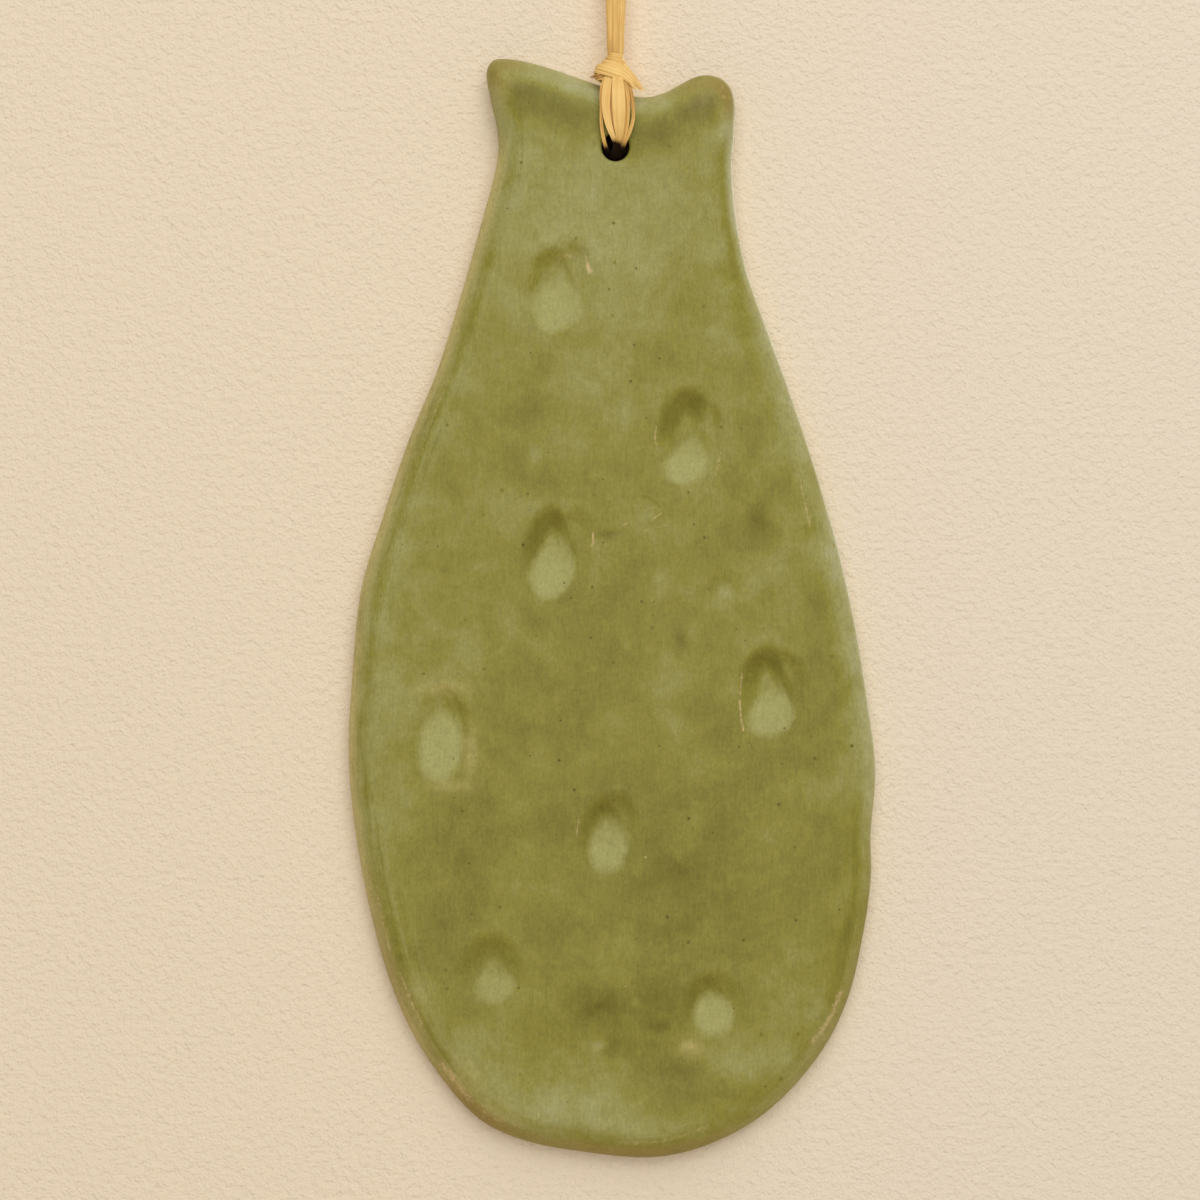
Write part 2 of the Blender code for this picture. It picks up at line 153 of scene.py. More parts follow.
PRESS_DEEPEST = 0.4  # how far above its centre a press is deepest, as a share of its half height
PRESS_DRAG = 0.5  # how much deeper the fingertip went on its left
PRESS_LIP = 0.14  # the ridge of clay pushed up round a press
PRESS_BLEND = 0.7  # how softly its ramp and its walls meet
SECOND_ROOF_SHADE = 0.6  # the share of painted roof shade that a further touch gives

# Broad swells and hollows of the hand-patted face: centre x and z, reach in x and z, height
SWELLS = [
    (-4.0, -166.5, 24.0, 6.5, -0.55),
    (-2.0, -150.0, 17.0, 8.0, 0.4),
    (24.0, -130.0, 10.0, 16.0, 0.25),
    (-38.0, -84.0, 7.0, 22.0, -0.3),
    (2.0, -58.0, 14.0, 16.0, 0.25),
    (12.0, -84.0, 5.0, 4.0, -0.3),
    (25.8, -69.5, 4.5, 5.5, -0.35),
    (19.4, -79.9, 1.8, 2.2, -0.5),
    (-1.0, -10.0, 14.0, 9.0, -0.3),
]

# Patches of lighter or deeper tone: glaze that runs paler or pools deeper, and painted sheen where the face
# turns up to the light, on the neck and above the foot. Centre x and z, reach in x and z, and how much.
GLAZE_AND_SHEEN_PATCHES = [
    # painted sheen with paler glaze on the neck, which turns up to the light
    (0.0, -11.0, 22.0, 20.0, 0.2),
    (-20.6, 13.5, 3.4, 4.0, -0.17),
    (19.6, 10.4, 3.2, 3.2, -0.17),
    (31.5, -154.0, 6.0, 7.0, -0.05),
    (36.5, -56.0, 3.0, 9.0, -0.12),
    (36.5, -160.0, 2.6, 6.0, 0.1),
    (-19.5, 4.5, 5.0, 5.5, -0.08),
    (14.5, 9.0, 6.0, 2.6, -0.08),
    (16.0, 3.0, 5.0, 3.4, 0.14),
    (-43.0, -104.0, 5.0, 34.0, 0.06),
    (36.0, -86.0, 5.0, 22.0, -0.08),
    (24.0, -84.0, 9.0, 12.0, 0.04),
    (0.0, -132.0, 34.0, 26.0, -0.11),
    (-3.0, -156.0, 10.0, 5.0, -0.14),
    (-0.5, -162.5, 1.6, 2.0, -0.16),
    (8.2, -159.4, 2.6, 1.3, -0.16),
    (16.0, -170.0, 9.0, 4.0, -0.14),
    (-9.0, -142.0, 12.0, 7.0, -0.04),
    # painted sheen: the broad pale band above the foot, where the face turns up to the light
    (-10.0, -173.8, 18.0, 4.8, 0.17),
    (6.0, -177.8, 9.0, 2.4, 0.16),
    (-28.0, -167.0, 8.0, 8.0, 0.09),
    (28.0, -168.0, 9.0, 7.0, 0.08),
    (-34.0, -150.0, 6.0, 12.0, -0.04),
    (5.0, -80.0, 22.0, 18.0, -0.04),
    (21.2, -167.2, 3.2, 2.6, 0.2),
    (25.8, -68.4, 3.2, 3.0, -0.16),
    (-1.0, -70.2, 2.4, 1.1, -0.16),
    (5.8, -66.0, 2.4, 1.8, 0.12),
    (-14.7, -55.7, 1.3, 2.0, 0.16),
    (-2.8, -162.9, 1.2, 1.0, 0.2),
    (3.6, -155.0, 0.8, 0.7, 0.2),
    (19.8, -80.6, 1.6, 1.4, 0.25),
    (12.1, -89.6, 1.6, 1.8, -0.18),
    (13.6, -88.2, 1.0, 1.4, 0.12),
]
TOP_HOLLOW = (7.6, 3.9, 0.25, 0.24)  # how far below the top edge its hollow is, reach, depth and deeper tone
# Painted sheen, with paler glaze: the crest of the top edge, which faces up to the light.
TOP_CREST = (4.8, 2.4, 0.2)  # insets where the paler crest of the top edge ends and is full, and its tone
TOP_FROM = (-2.0, 4.0)  # heights between which the long sides turn into the top edge
FOOT_FROM = (-160.0, -176.0)  # and those between which they turn into the foot
FLANK_FROM = (8.0, 22.0)  # how far from the middle the left and right flanks start and are full
# The lighter flanks of the roll: paler glaze with a painted sheen where the roll turns toward the light.
# Their reach from the edge and lighter tone; the right one reaches less far at the neck, and fades low on the
# body.
RIM_LEFT = (6.5, 0.12)
RIM_RIGHT = (3.9, 2.2, 0.32)
RIM_NECK = (-55.0, -30.0)
RIM_FADES = (-100.0, -140.0, 0.8)
# The darker line along the inner side of the roll: its inset, half width and deeper tone
CREASE_LEFT = (3.1, 0.9, 0.09)
CREASE_NECK = (1.9, 0.9, 0.27)
CREASE_RIGHT = (3.1, 1.0, 0.1)
CREASE_LOW = (-108.0, -122.0)  # heights between which the right one starts
NECK_SIDE = (8.0, 20.0)  # where the one at the neck starts and is full, across and in height
NECK_HEIGHT = (-30.0, -20.0)
STREAKED = (9.0, 2.5)  # insets where the streaks on the roll end and are full
BORE_SHADE = (2.65, 2.46)  # how far from the hole's axis the painted shade inside the hole ends and is full
# Where the glaze on the side and the roll is burnt brown: centre x and z, reach in x and z, and share
BROWN = [
    (-27.0, -176.0, 11.0, 10.0, 1.0),
    (-43.0, -152.0, 9.0, 14.0, 0.45),
    (-2.0, -184.0, 14.0, 5.0, 0.8),
    (18.0, -182.0, 12.0, 6.0, 0.35),
    (40.0, -158.0, 10.0, 10.0, 0.3),
    (16.5, 11.0, 5.0, 3.0, 0.5),
    (20.4, 9.5, 3.0, 4.0, 0.5),
    (-20.8, 14.5, 4.5, 4.5, 0.5),
]
BROWN_INSET = (3.0, 1.6)  # where it ends and is full
# Where the glaze is thin enough to show the clay: centre x and z, reach in x and z, and share
THIN = [
    (17.0, 9.0, 4.0, 2.8, 0.2),
    (-20.6, 11.6, 2.4, 3.2, 0.28),
    (-31.0, -98.2, 4.6, 1.3, 0.4),
    (-26.2, -109.5, 1.2, 4.2, 0.45),
    (-30.0, -115.8, 4.2, 1.2, 0.3),
    (13.7, -163.2, 2.0, 1.6, 0.55),
    (-30.0, -171.0, 4.5, 4.5, 0.55),
    (-24.0, -176.0, 5.0, 2.4, 0.4),
    (-37.0, -158.0, 3.0, 8.0, 0.2),
]
EDGE_THIN = (1.5, 0.95, 0.16, 0.12, 0.16)  # reach, and share on the left, on the right, on top and below
SCRATCH_TONE = 0.3  # how much deeper the glaze is in a scratch

# Where the glaze is worn or broken through to the clay: half width, strength and route of each stroke
WEAR = [
    (0.3, 1.1, [(19.3, 11.4), (19.6, 11.2)]),
    (0.35, 1.1, [(19.5, 9.5), (19.9, 9.2)]),
    (0.22, 1.1, [(-6.0, -18.4), (-5.4, -19.8), (-5.0, -21.0)]),
    (0.55, 1.3, [(-5.0, -21.2), (-4.6, -22.5)]),
    (0.7, 0.85, [(-10.2, -19.9), (-9.0, -19.4), (-7.8, -19.8)]),
    (0.3, 0.8, [(-15.0, -23.0), (-15.4, -25.4)]),
    (0.28, 1.05, [(7.4, -50.6), (7.2, -52.4), (7.5, -54.6)]),
    (0.5, 0.9, [(19.1, -55.4), (18.6, -57.6), (18.1, -59.4)]),
    (0.28, 1.2, [(-4.1, -70.0), (-4.0, -71.4), (-4.3, -72.4)]),
    (0.3, 0.9, [(1.2, -68.5), (2.2, -68.2)]),
    (0.28, 1.0, [(6.4, -67.8), (7.4, -67.0), (8.3, -66.4)]),
    (0.2, 0.6, [(4.8, -68.5), (6.0, -68.0)]),
    (0.4, 0.55, [(-26.7, -105.4), (-26.2, -108.0), (-26.6, -111.2)]),
    (0.7, 0.5, [(-35.4, -99.2), (-32.4, -98.0), (-30.4, -98.2)]),
    (0.8, 0.5, [(-28.8, -98.6), (-27.2, -99.2), (-25.8, -98.8)]),
    (0.28, 1.05, [(22.9, -95.4), (22.6, -99.4)]),
    (0.3, 1.1, [(22.5, -100.4), (22.8, -103.4), (23.2, -105.8)]),
    (0.26, 0.8, [(33.5, -96.4), (33.3, -99.2), (32.8, -101.2)]),
    (0.4, 0.8, [(32.0, -98.8), (32.3, -100.2)]),
    (0.34, 0.9, [(-6.6, -121.6), (-7.0, -124.8)]),
    (0.9, 0.7, [(12.6, -162.8), (14.4, -163.6)]),
    (0.45, 0.7, [(21.6, -150.6), (22.5, -151.4)]),
    (0.2, 0.8, [(6.5, -143.9), (5.6, -145.4), (4.9, -146.8)]),
    (0.22, 0.8, [(3.5, -151.1), (1.8, -152.2), (0.3, -152.8)]),
    (0.2, 0.5, [(-1.0, -155.6), (0.6, -156.0)]),
    (0.9, 1.0, [(-31.6, -166.4), (-29.0, -169.6), (-26.6, -172.6)]),
    (0.5, 0.8, [(-26.4, -172.8), (-24.0, -175.0), (-20.8, -176.8)]),
    (0.4, 0.7, [(-16.4, -179.8), (-13.0, -180.8)]),
    (0.5, 0.8, [(0.6, -180.6), (8.0, -180.2), (17.0, -177.6)]),
    (0.45, 0.9, [(-43.4, -134.0), (-42.2, -140.0), (-41.0, -145.4)]),
    (0.5, 0.9, [(-39.0, -149.8), (-37.2, -154.6), (-35.2, -159.0)]),
    (0.35, 0.9, [(32.6, -57.6), (33.6, -60.6), (34.0, -63.4)]),
    (0.5, 0.9, [(34.3, -64.0), (34.8, -66.4), (35.2, -68.6)]),
    (0.22, 0.7, [(35.0, -61.0), (36.0, -65.4), (36.8, -69.6)]),
    (0.18, 0.9, [(4.2, -66.9), (6.0, -65.6), (7.6, -65.1)]),
    (0.18, 0.9, [(5.2, -69.6), (7.4, -68.9), (9.4, -68.5)]),
    (0.3, 0.6, [(36.0, -72.4), (36.8, -75.6)]),
    (0.7, 1.0, [(40.8, -153.4), (38.8, -158.2), (35.8, -162.4)]),
    (0.4, 0.6, [(34.4, -164.0), (31.2, -168.0), (27.6, -171.4)]),
    (0.3, 0.6, [(38.4, -79.6), (38.9, -83.0)]),
    (0.4, 0.75, [(-30.4, -42.0), (-33.4, -50.0), (-36.4, -59.0)]),
    (0.35, 0.5, [(-45.6, -92.0), (-46.0, -104.0), (-45.4, -116.0)]),
]

# Shallow scratches and nicks: half width, depth and route
SCRATCHES = [
    (0.4, 0.12, [(-33.4, -98.2), (-30.6, -98.6), (-28.8, -100.8), (-27.4, -105.2)]),
    (0.25, 0.1, [(-8.2, -72.6), (-7.2, -74.2), (-6.4, -74.8), (-5.6, -73.4)]),
    (0.25, 0.1, [(29.6, -95.6), (30.8, -98.4), (31.8, -101.4)]),
    (0.3, 0.14, [(4.6, -63.5), (6.4, -64.1), (7.8, -65.2)]),
    (0.35, 0.1, [(-2.6, -70.8), (-0.8, -70.0), (1.2, -69.8)]),
    (0.3, 0.1, [(5.0, -69.0), (6.4, -68.4), (8.2, -67.2)]),
    (0.2, 0.08, [(5.8, -144.0), (4.6, -147.0)]),
    (0.2, 0.08, [(3.4, -151.6), (0.4, -153.2)]),
]

# ------------------------------------------------------------------ the raffia's routes

NAIL_RADIUS = 2.3
STRAND_RADIUS = 0.72
KNOT_Y = -1.7
ROUTE_STEP = 0.25
PLEATS = 2.0  # waves across a ribbon
FIBRE_DENSITY = 6.0  # of the relief across a ribbon, and how much it is stretched along it
FIBRE_STRETCH = 0.25
STRAND_SHIFT = 3.7  # from one strand's relief to the next
HOLE_SHADE_DEPTH = (-4.6, -3.1)  # y where the painted shade inside the hole starts and is full, from there to the back
HOLE_SHADE_REACH = (3.9, 2.8)  # how far from the hole's axis it ends and is full
NAIL_TURN = (-20.0, -7.0)  # heights between which the loop's ribbons turn to lie on the nail
LOOP_FOOT = (-0.6, -1.65, -34.2)  # where the loop's left side starts, inside the knot
LOOP_ROUTE = [  # that side from the knot to the crown of the loop, from the hanging point
    (-0.87, -1.5, -32.0), (-0.93, -1.35, -28.0), (-1.12, -1.1, -22.0),
    (-1.55, -0.75, -15.0), (-2.2, -0.35, -8.5), (-2.85, -0.1, -4.2),
]
# The ribbons that run down the face, through the hole and up the back: tone, and the route's points as
# x, y, z, half width and roll
SLING = [
    (0.0, [(-0.9, -2.9, 14.4, 0.4, 0), (-1.5, -3.5, 12.9, 0.5, 0), (-2.3, -4.5, 10.2, 0.6, -25),
           (-2.5, -5.0, 7.0, 0.42, -30), (-2.55, -5.0, 4.0, 0.36, -30), (-2.25, -4.75, 1.8, 0.36, -25),
           (-1.85, -4.0, 0.3, 0.34, -20), (-1.6, -2.8, -0.3, 0.45, 0), (-1.4, -0.4, -0.9, 0.8, 0),
           (-1.3, 1.8, -1.4, 1.0, 0), (-1.3, 3.3, -1.0, 1.3, 0), (-1.7, 3.6, 4.0, 0.9, 0),
           (-1.4, 3.3, 10.0, 0.8, 0), (-1.0, 1.6, 12.8, 0.7, 0)]),
    (0.1, [(-0.5, -3.0, 14.4, 0.5, 0), (-1.1, -3.75, 12.9, 0.7, 0), (-1.65, -4.9, 10.0, 0.8, -12),
           (-1.75, -5.3, 7.0, 0.78, -14), (-1.3, -5.3, 4.2, 0.66, -8), (-0.7, -5.0, 2.4, 0.5, 0),
           (-0.2, -4.2, 1.3, 0.45, 0), (0.0, -2.6, 0.9, 0.5, 0), (-0.1, 0.4, 0.8, 0.6, 0),
           (-0.3, 2.5, 1.3, 0.7, 0), (-0.5, 3.65, 3.4, 0.8, 0), (-0.4, 3.75, 7.0, 0.9, 0),
           (-0.2, 3.3, 10.4, 0.8, 0), (-0.1, 1.5, 12.9, 0.6, 0)]),
    (-0.12, [(0.0, -2.8, 14.4, 0.5, 0), (-0.1, -3.6, 12.9, 0.8, 0), (-0.45, -4.75, 10.0, 0.95, 0),
             (-0.5, -5.0, 7.0, 1.0, 0), (-0.2, -4.95, 4.4, 0.9, 0), (0.1, -4.65, 2.7, 0.6, 0),
             (0.25, -3.9, 1.5, 0.5, 0), (0.2, -2.4, 0.3, 0.7, 0), (0.1, -0.2, -1.4, 1.2, 0),
             (0.0, 2.0, -1.8, 1.4, 0), (0.0, 3.3, -1.4, 1.9, 0), (0.1, 3.5, 1.8, 1.6, 0),
             (0.1, 3.6, 8.0, 0.7, 0), (0.1, 2.6, 11.6, 0.6, 0), (0.1, 1.2, 13.0, 0.5, 0)]),
    (0.14, [(0.1, -3.0, 14.4, 0.6, 0), (0.35, -3.95, 12.9, 0.9, 0), (0.5, -5.35, 10.0, 1.15, 2),
            (0.6, -5.75, 7.0, 1.2, 4), (0.65, -5.65, 4.4, 1.05, 4), (0.7, -5.2, 2.6, 0.8, 0),
            (0.75, -4.3, 1.2, 0.6, 0), (0.7, -2.6, 0.7, 0.6, 0), (0.5, 0.4, 0.6, 0.7, 0),
            (0.5, 2.5, 1.2, 0.7, 0), (0.7, 3.65, 3.4, 0.8, 0), (0.8, 3.75, 7.0, 0.9, 0),
            (0.5, 3.3, 10.4, 0.8, 0), (0.3, 1.5, 12.9, 0.6, 0)]),
    (0.02, [(0.6, -2.9, 14.4, 0.4, 0), (1.1, -3.7, 12.9, 0.55, 0), (1.85, -4.9, 10.0, 0.62, 14),
            (2.15, -5.15, 7.0, 0.5, 18), (2.1, -5.05, 4.4, 0.4, 14), (1.7, -4.8, 2.4, 0.42, 8),
            (1.25, -4.1, 1.0, 0.42, 0), (1.0, -2.6, 0.3, 0.5, 0), (0.8, 0.4, 0.2, 0.6, 0),
            (0.9, 2.5, 0.8, 0.6, 0), (1.3, 3.5, 2.8, 0.8, 0), (1.8, 3.6, 6.5, 0.9, 0),
            (1.4, 3.2, 10.2, 0.8, 0), (0.8, 1.5, 12.8, 0.6, 0)]),
    (0.0, [(1.0, -2.8, 14.2, 0.4, 0), (1.6, -3.4, 12.8, 0.5, 0), (2.6, -4.4, 10.2, 0.5, 25),
           (3.2, -4.9, 7.2, 0.38, 30), (3.2, -4.95, 4.8, 0.36, 30), (2.55, -4.85, 2.6, 0.42, 26),
           (1.75, -4.4, 1.1, 0.45, 20), (1.35, -3.2, 0.0, 0.45, 8), (1.3, -1.0, -0.7, 0.8, 0),
           (1.3, 1.6, -1.4, 1.0, 0), (1.3, 3.3, -1.0, 1.3, 0), (1.9, 3.6, 3.4, 0.7, 0),
           (2.5, 3.6, 6.0, 0.6, 0), (1.9, 3.1, 10.4, 0.6, 0), (1.0, 1.2, 12.9, 0.5, 0)]),
]
# The ends of the strands that stand out of the knot, each a fan of loose fibres: how many, half width, tone,
# and the two sides of the fan where it starts, on its way and where it ends
FANS = [
    (20, 0.17, 0.1, [((1.7, -3.0, 15.2), (0.5, -4.0, 12.9)), ((3.5, -3.5, 12.8), (2.3, -4.5, 11.7)),
                     ((5.4, -4.0, 10.0), (3.2, -4.8, 10.3))]),
    (12, 0.16, -0.2, [((-1.8, -3.3, 13.7), (-1.3, -3.6, 12.4)), ((-3.2, -3.3, 13.2), (-2.8, -3.6, 12.3)),
                      ((-4.9, -2.9, 12.8), (-3.4, -3.4, 12.0))]),
]
# Turns about the knot: turns, where they start, tilt, half width, tone, and rings of height, middle x and
# half sizes in x and y
WRAPS = [
    (2.2, 0.1, 0.02, 0.5, 0.05, [(17.1, 0.0, 1.25, 1.0), (16.5, 0.0, 1.4, 1.15), (16.0, 0.0, 1.5, 1.3)]),
    (2.3, 0.3, 0.12, 0.7, 0.0, [(16.0, 0.0, 1.6, 1.4), (15.2, -0.1, 2.2, 1.8), (14.5, -0.2, 2.7, 2.1)]),
    (1.8, 0.55, 0.2, 0.75, 0.12, [(14.9, -0.2, 2.4, 2.0), (14.2, -0.25, 3.0, 2.3), (13.7, -0.3, 3.3, 2.45)]),
    (1.5, 0.5, 0.3, 0.7, 0.06, [(13.9, -0.3, 3.2, 2.45), (13.4, -0.3, 3.45, 2.5), (13.0, -0.3, 3.3, 2.4)]),
]
CORE = [  # height, middle x and half width of the strands gathered inside the knot
    (12.3, 0.0, 1.9), (13.0, -0.3, 2.7), (13.8, -0.5, 3.2), (14.6, -0.3, 2.7),
    (15.4, -0.1, 1.9), (16.2, 0.0, 1.3), (16.8, 0.0, 1.1),
]
PLIES = [  # offsets across and outward and half widths of each ply of the loop, from its left foot round
    ([(0.3, 0.0), (0.55, 0.0), (0.5, 0.0), (0.0, 0.0), (0.0, 0.0), (0.0, 0.0), (0.35, 0.0), (0.2, 0.0)],
     [0.85, 1.05, 1.25, 1.1, 1.0, 0.9, 0.55, 0.5]),
    ([(0.75, 0.25), (0.95, 0.25), (1.2, 0.25), (0.3, 0.25),
      (0.0, 0.25), (0.0, 0.25), (-0.1, 0.2), (-0.1, 0.2)],
     [0.4, 0.42, 0.5, 0.7, 0.7, 0.6, 0.45, 0.35]),
    ([(-0.1, -0.3), (-0.1, -0.3), (-0.2, -0.3), (0.2, -0.3),
      (0.0, -0.3), (0.0, -0.3), (-0.3, -0.2), (-0.25, -0.1)],
     [0.5, 0.6, 0.7, 0.7, 0.6, 0.6, 0.5, 0.4]),
]

# ------------------------------------------------------------------ the stage

WALL_GAP = 1.5  # behind the pad, at the height of its hole
FOOT_CLOSER = 1.35  # how much closer the wall is at the pad's foot
SHEET_SIZE = 3.0  # the wall and the floor, in metres
FLOOR_DROP = 0.9  # the floor below the pad, in metres
SENSOR_WIDTH = 36.0
LAMPS = {  # offset from the middle of the view and width, in metres, and power
    "key_light": ((0.22, -1.1, 1.2), 1.6, 10.2),
    "fill_light": ((0.1, -1.7, 0.45), 2.2, 15.7),
    "back_light": ((0.5, 0.9, 0.3), 0.8, 9.0),
}
ROOM_LIGHT = 0.36
WALL_COOL_LIGHT_SPAN = (-50.0, 110.0)  # where the wall's colour starts and ends growing cooler, from left to right: painted cooler light toward the right
WALL_COOL_LIGHT_TINT = (0.985, 1.01, 1.07, 1.0)
PAINT_RELIEF = ((0.75, 1, 1.0), (2.2, 0, 0.4), (0.03, 2, 0.6))  # scale per millimetre, detail and height
PAINT_DENTS = 0.4 * MM

# ------------------------------------------------------------------ curves and heights


def through(points, step, closed=False):
    """Points at an even step along the smooth curve that runs through the given ones."""
    given = np.array(points, dtype=float)
    count = len(given)
    spans = count if closed else count - 1
    parts = []
    t = np.arange(0.0, 1.0, 0.02)[:, None]
    for i in range(spans):
        if closed:
            a, b, c, d = given[i - 1], given[i], given[(i + 1) % count], given[(i + 2) % count]
        else:
            b, c = given[i], given[i + 1]
            a = given[i - 1] if i else 2 * b - c
            d = given[i + 2] if i + 2 < count else 2 * c - b
        parts.append(
            0.5 * (2 * b + (c - a) * t + (2 * a - 5 * b + 4 * c - d) * t**2 + (3 * b - a - 3 * c + d) * t**3)
        )
    fine = np.concatenate(parts + [given[:1] if closed else given[-1:]])
    along = np.concatenate([[0.0], np.cumsum(np.linalg.norm(np.diff(fine, axis=0), axis=1))])
    pieces = max(2, round(along[-1] / step))
    wanted = np.linspace(0.0, along[-1], pieces + 1)
    even = np.stack([np.interp(wanted, along, fine[:, k]) for k in range(fine.shape[1])], axis=1)
    return even[:-1] if closed else even


EDGE = through(OUTLINE, EDGE_SAMPLE, closed=True)


def edge_facts(points):
    """How far in from the edge each point is, and how far along the edge its nearest place lies.

    The distance blends where two stretches of edge are near: along a straight edge the sum of 1/r^4 is
    pi / (2 d^3), so it is d itself there.
    """
    inset, along = np.zeros(len(points)), np.zeros(len(points))
    todo = np.arange(len(points))
    for every, good_from in ((8, 4.0), (1, 0.0)):
        edge = EDGE[::every]
        for start in range(0, len(todo), 4000):
            which = todo[start : start + 4000]
            some = points[which]
            square = (some[:, :1] - edge[None, :, 0]) ** 2 + (some[:, 1:] - edge[None, :, 1]) ** 2
            total = (EDGE_SAMPLE * every / np.maximum(square, 1e-4) ** 2).sum(axis=1)
            inset[which] = (math.pi / 2 / total) ** (1 / 3)
            along[which] = square.argmin(axis=1) * EDGE_SAMPLE * every
        todo = todo[inset[todo] < good_from]
    return inset, along


def step_up(value, start, full):
    """A smooth step from 0 at the start to 1 where it is full, whichever of them is the larger."""
    t = np.clip((value - start) / (full - start), 0, 1)
    return t * t * (3 - 2 * t)


def hump(value, at, reach):
    """1 where the value is at its place, and fading to 0 on both sides."""
    return np.exp(-(((value - at) / reach) ** 2))


def unit(vectors):
    """The vectors at a length of one."""
    return vectors / np.linalg.norm(vectors, axis=1, keepdims=True)


def least(first, second, blend):
    """The lower of two heights, with the corner between them eased, and the share of the first."""
    share = np.clip(0.5 + 0.5 * (second - first) / blend, 0, 1)
    return second + (first - second) * share - blend * share * (1 - share), share


def touch(points, spec):
    """One touch of a fingertip: a ramp that deepens upward, inside walls that rise to an oval rim.

    It gives the depth, the roof's share of it, which takes painted shade, the way in from the rim and the
    height up it.
    """
    x, z, half_width, half_height, depth, lean, steep, soft = spec
    turn = math.radians(lean)
    dx, dz = points[:, 0] - x, points[:, 1] - z
    across = (dx * math.cos(turn) - dz * math.sin(turn)) / half_width
    up = (dx * math.sin(turn) + dz * math.cos(turn)) / half_height
    out = np.maximum(np.hypot(across, up), 0.05)
    inward = (1 - out) * out / np.hypot(across / half_width, up / half_height)
    ramp = depth * np.clip((up + 1 - PRESS_DRAG * across) / (1 + PRESS_DEEPEST), 0, 1)
    inside_rim = np.maximum(inward, 0)
    wall = steep * inside_rim**2 / (inside_rim + soft)
    level, share = least(ramp, wall, PRESS_BLEND)
    level = np.maximum(level, 0) * (inward > 0)
    # Painted shade: the roof above and left of the deepest place faces away from the light; partly pooled
    # glaze.
    roof = (1 - share) * step_up(up - 0.45 * across, 0.0, 0.6) * step_up(inward, -0.6, 1.6)
    return level, roof, inward, up


def press(points, spec):
    """The height that one finger leaves, its floor's pale glaze and painted sheen, and its roof's painted
    shade.
    """
    touches, (x, z, half_width, half_height, narrowing, shift, share), roof_shade_tone = spec
    depth, roof, inward, up = touch(points, touches[0])
    for other in touches[1:]:
        deeper, more, way, _ = touch(points, other)
        roof = np.maximum(roof, SECOND_ROOF_SHADE * more)
        depth, inward = np.maximum(depth, deeper), np.maximum(inward, way)
    height = (points[:, 1] - z) / half_height
    width = half_width * np.clip(1 - narrowing * height, 0.3, 2)
    across = (points[:, 0] - x - shift * height) / width
    out = np.hypot(across, height)
    # The floor's pale patch: paler glaze with a painted sheen where the floor faces up to the light, fading
    # toward its steeper top.
    floor = share * step_up(1 - out, -0.1, 0.5 - 0.15 * np.clip(across, -1, 1)) * step_up(inward, -0.6, 0.8)
    floor *= 1 - 0.45 * step_up(height, -0.2, 0.9)
    lip = PRESS_LIP * step_up(up, -0.4, 0.5) * hump(inward, -0.7, 0.7)
    return lip - depth, floor, roof_shade_tone * roof * (1 - floor)


def patches(points, spots):
    """The sum of soft oval spots over each point."""
    total = np.zeros(len(points))
    for x, z, reach_x, reach_z, amount in spots:
        total += amount * np.exp(-(((points[:, 0] - x) / reach_x) ** 2) - ((points[:, 1] - z) / reach_z) ** 2)
    return total


def near_route(points, route):
    """How far each flat point is from a smooth route."""
    line = through(route, 0.15)
    gap = (points[:, None, 0] - line[None, :, 0]) ** 2 + (points[:, None, 1] - line[None, :, 1]) ** 2
    return np.sqrt(gap.min(axis=1))


def within(points, route, reach):
    """Which points lie in the box of a route, grown by reach."""
    line = np.array(route)
    low, high = line.min(axis=0) - reach, line.max(axis=0) + reach
    return ((points > low) & (points < high)).all(axis=1)


def strokes(points, lines):
    """The strongest of the strokes over each point: 1 on the middle of a full one, and 0 away from all."""
    most = np.zeros(len(points))
    for half_width, strength, route in lines:
        near = within(points, route, 3 * half_width + 1)
        share = strength * hump(near_route(points[near], route), 0.0, 1.25 * half_width)
        most[near] = np.maximum(most[near], share)
    return most


def top_side(points):
    """How much each flat point belongs to the top edge, between the horns."""
    return step_up(points[:, 1], *TOP_FROM)


def top_hollow(points, inset):
    """The share of the hollow that runs below the top edge, from horn to horn."""
    at, reach, _, _ = TOP_HOLLOW
    drop = np.interp(points[:, 0], TOP_LINE[:, 0], TOP_LINE[:, 1]) - points[:, 1]
    return hump(drop, at, reach) * step_up(inset, 1.0, 4.5)


def face_height(points, facts):
    """The pressed face's height above the flat back."""
    inset, along = facts
    low, high = ROLL_SHIFT_X
    to_right = np.clip((points[:, 0] - low) / (high - low), 0, 1)
    roll = ROLL_LEFT + (ROLL_RIGHT - ROLL_LEFT) * to_right
    roll *= 1 + sum(share * np.sin(along / length + start) for share, length, start in ROLL_WAVES)
    bluff = ROLL_BLUFF_LEFT + (ROLL_BLUFF_RIGHT - ROLL_BLUFF_LEFT) * to_right
    rounded = (1 - (1 - np.clip(inset / roll, 0, 1)) ** bluff) ** (1 / bluff)
    level = FLOOR_THICK + CREST_HEIGHT * hump(inset, CREST_INSET, CREST_WIDTH)
    level -= TOP_HOLLOW[2] * top_hollow(points, inset)
    level += patches(points, SWELLS)
    for spec in PRESSES:
        level += press(points, spec)[0]
    level -= strokes(points, SCRATCHES)
    return SIDE_HEIGHT + (level - SIDE_HEIGHT) * rounded


def inward(loop):
    """The unit normals of a clockwise loop, pointing into it."""
    run = unit(np.roll(loop, -1, axis=0) - np.roll(loop, 1, axis=0))
    return np.stack([run[:, 1], -run[:, 0]], axis=1)


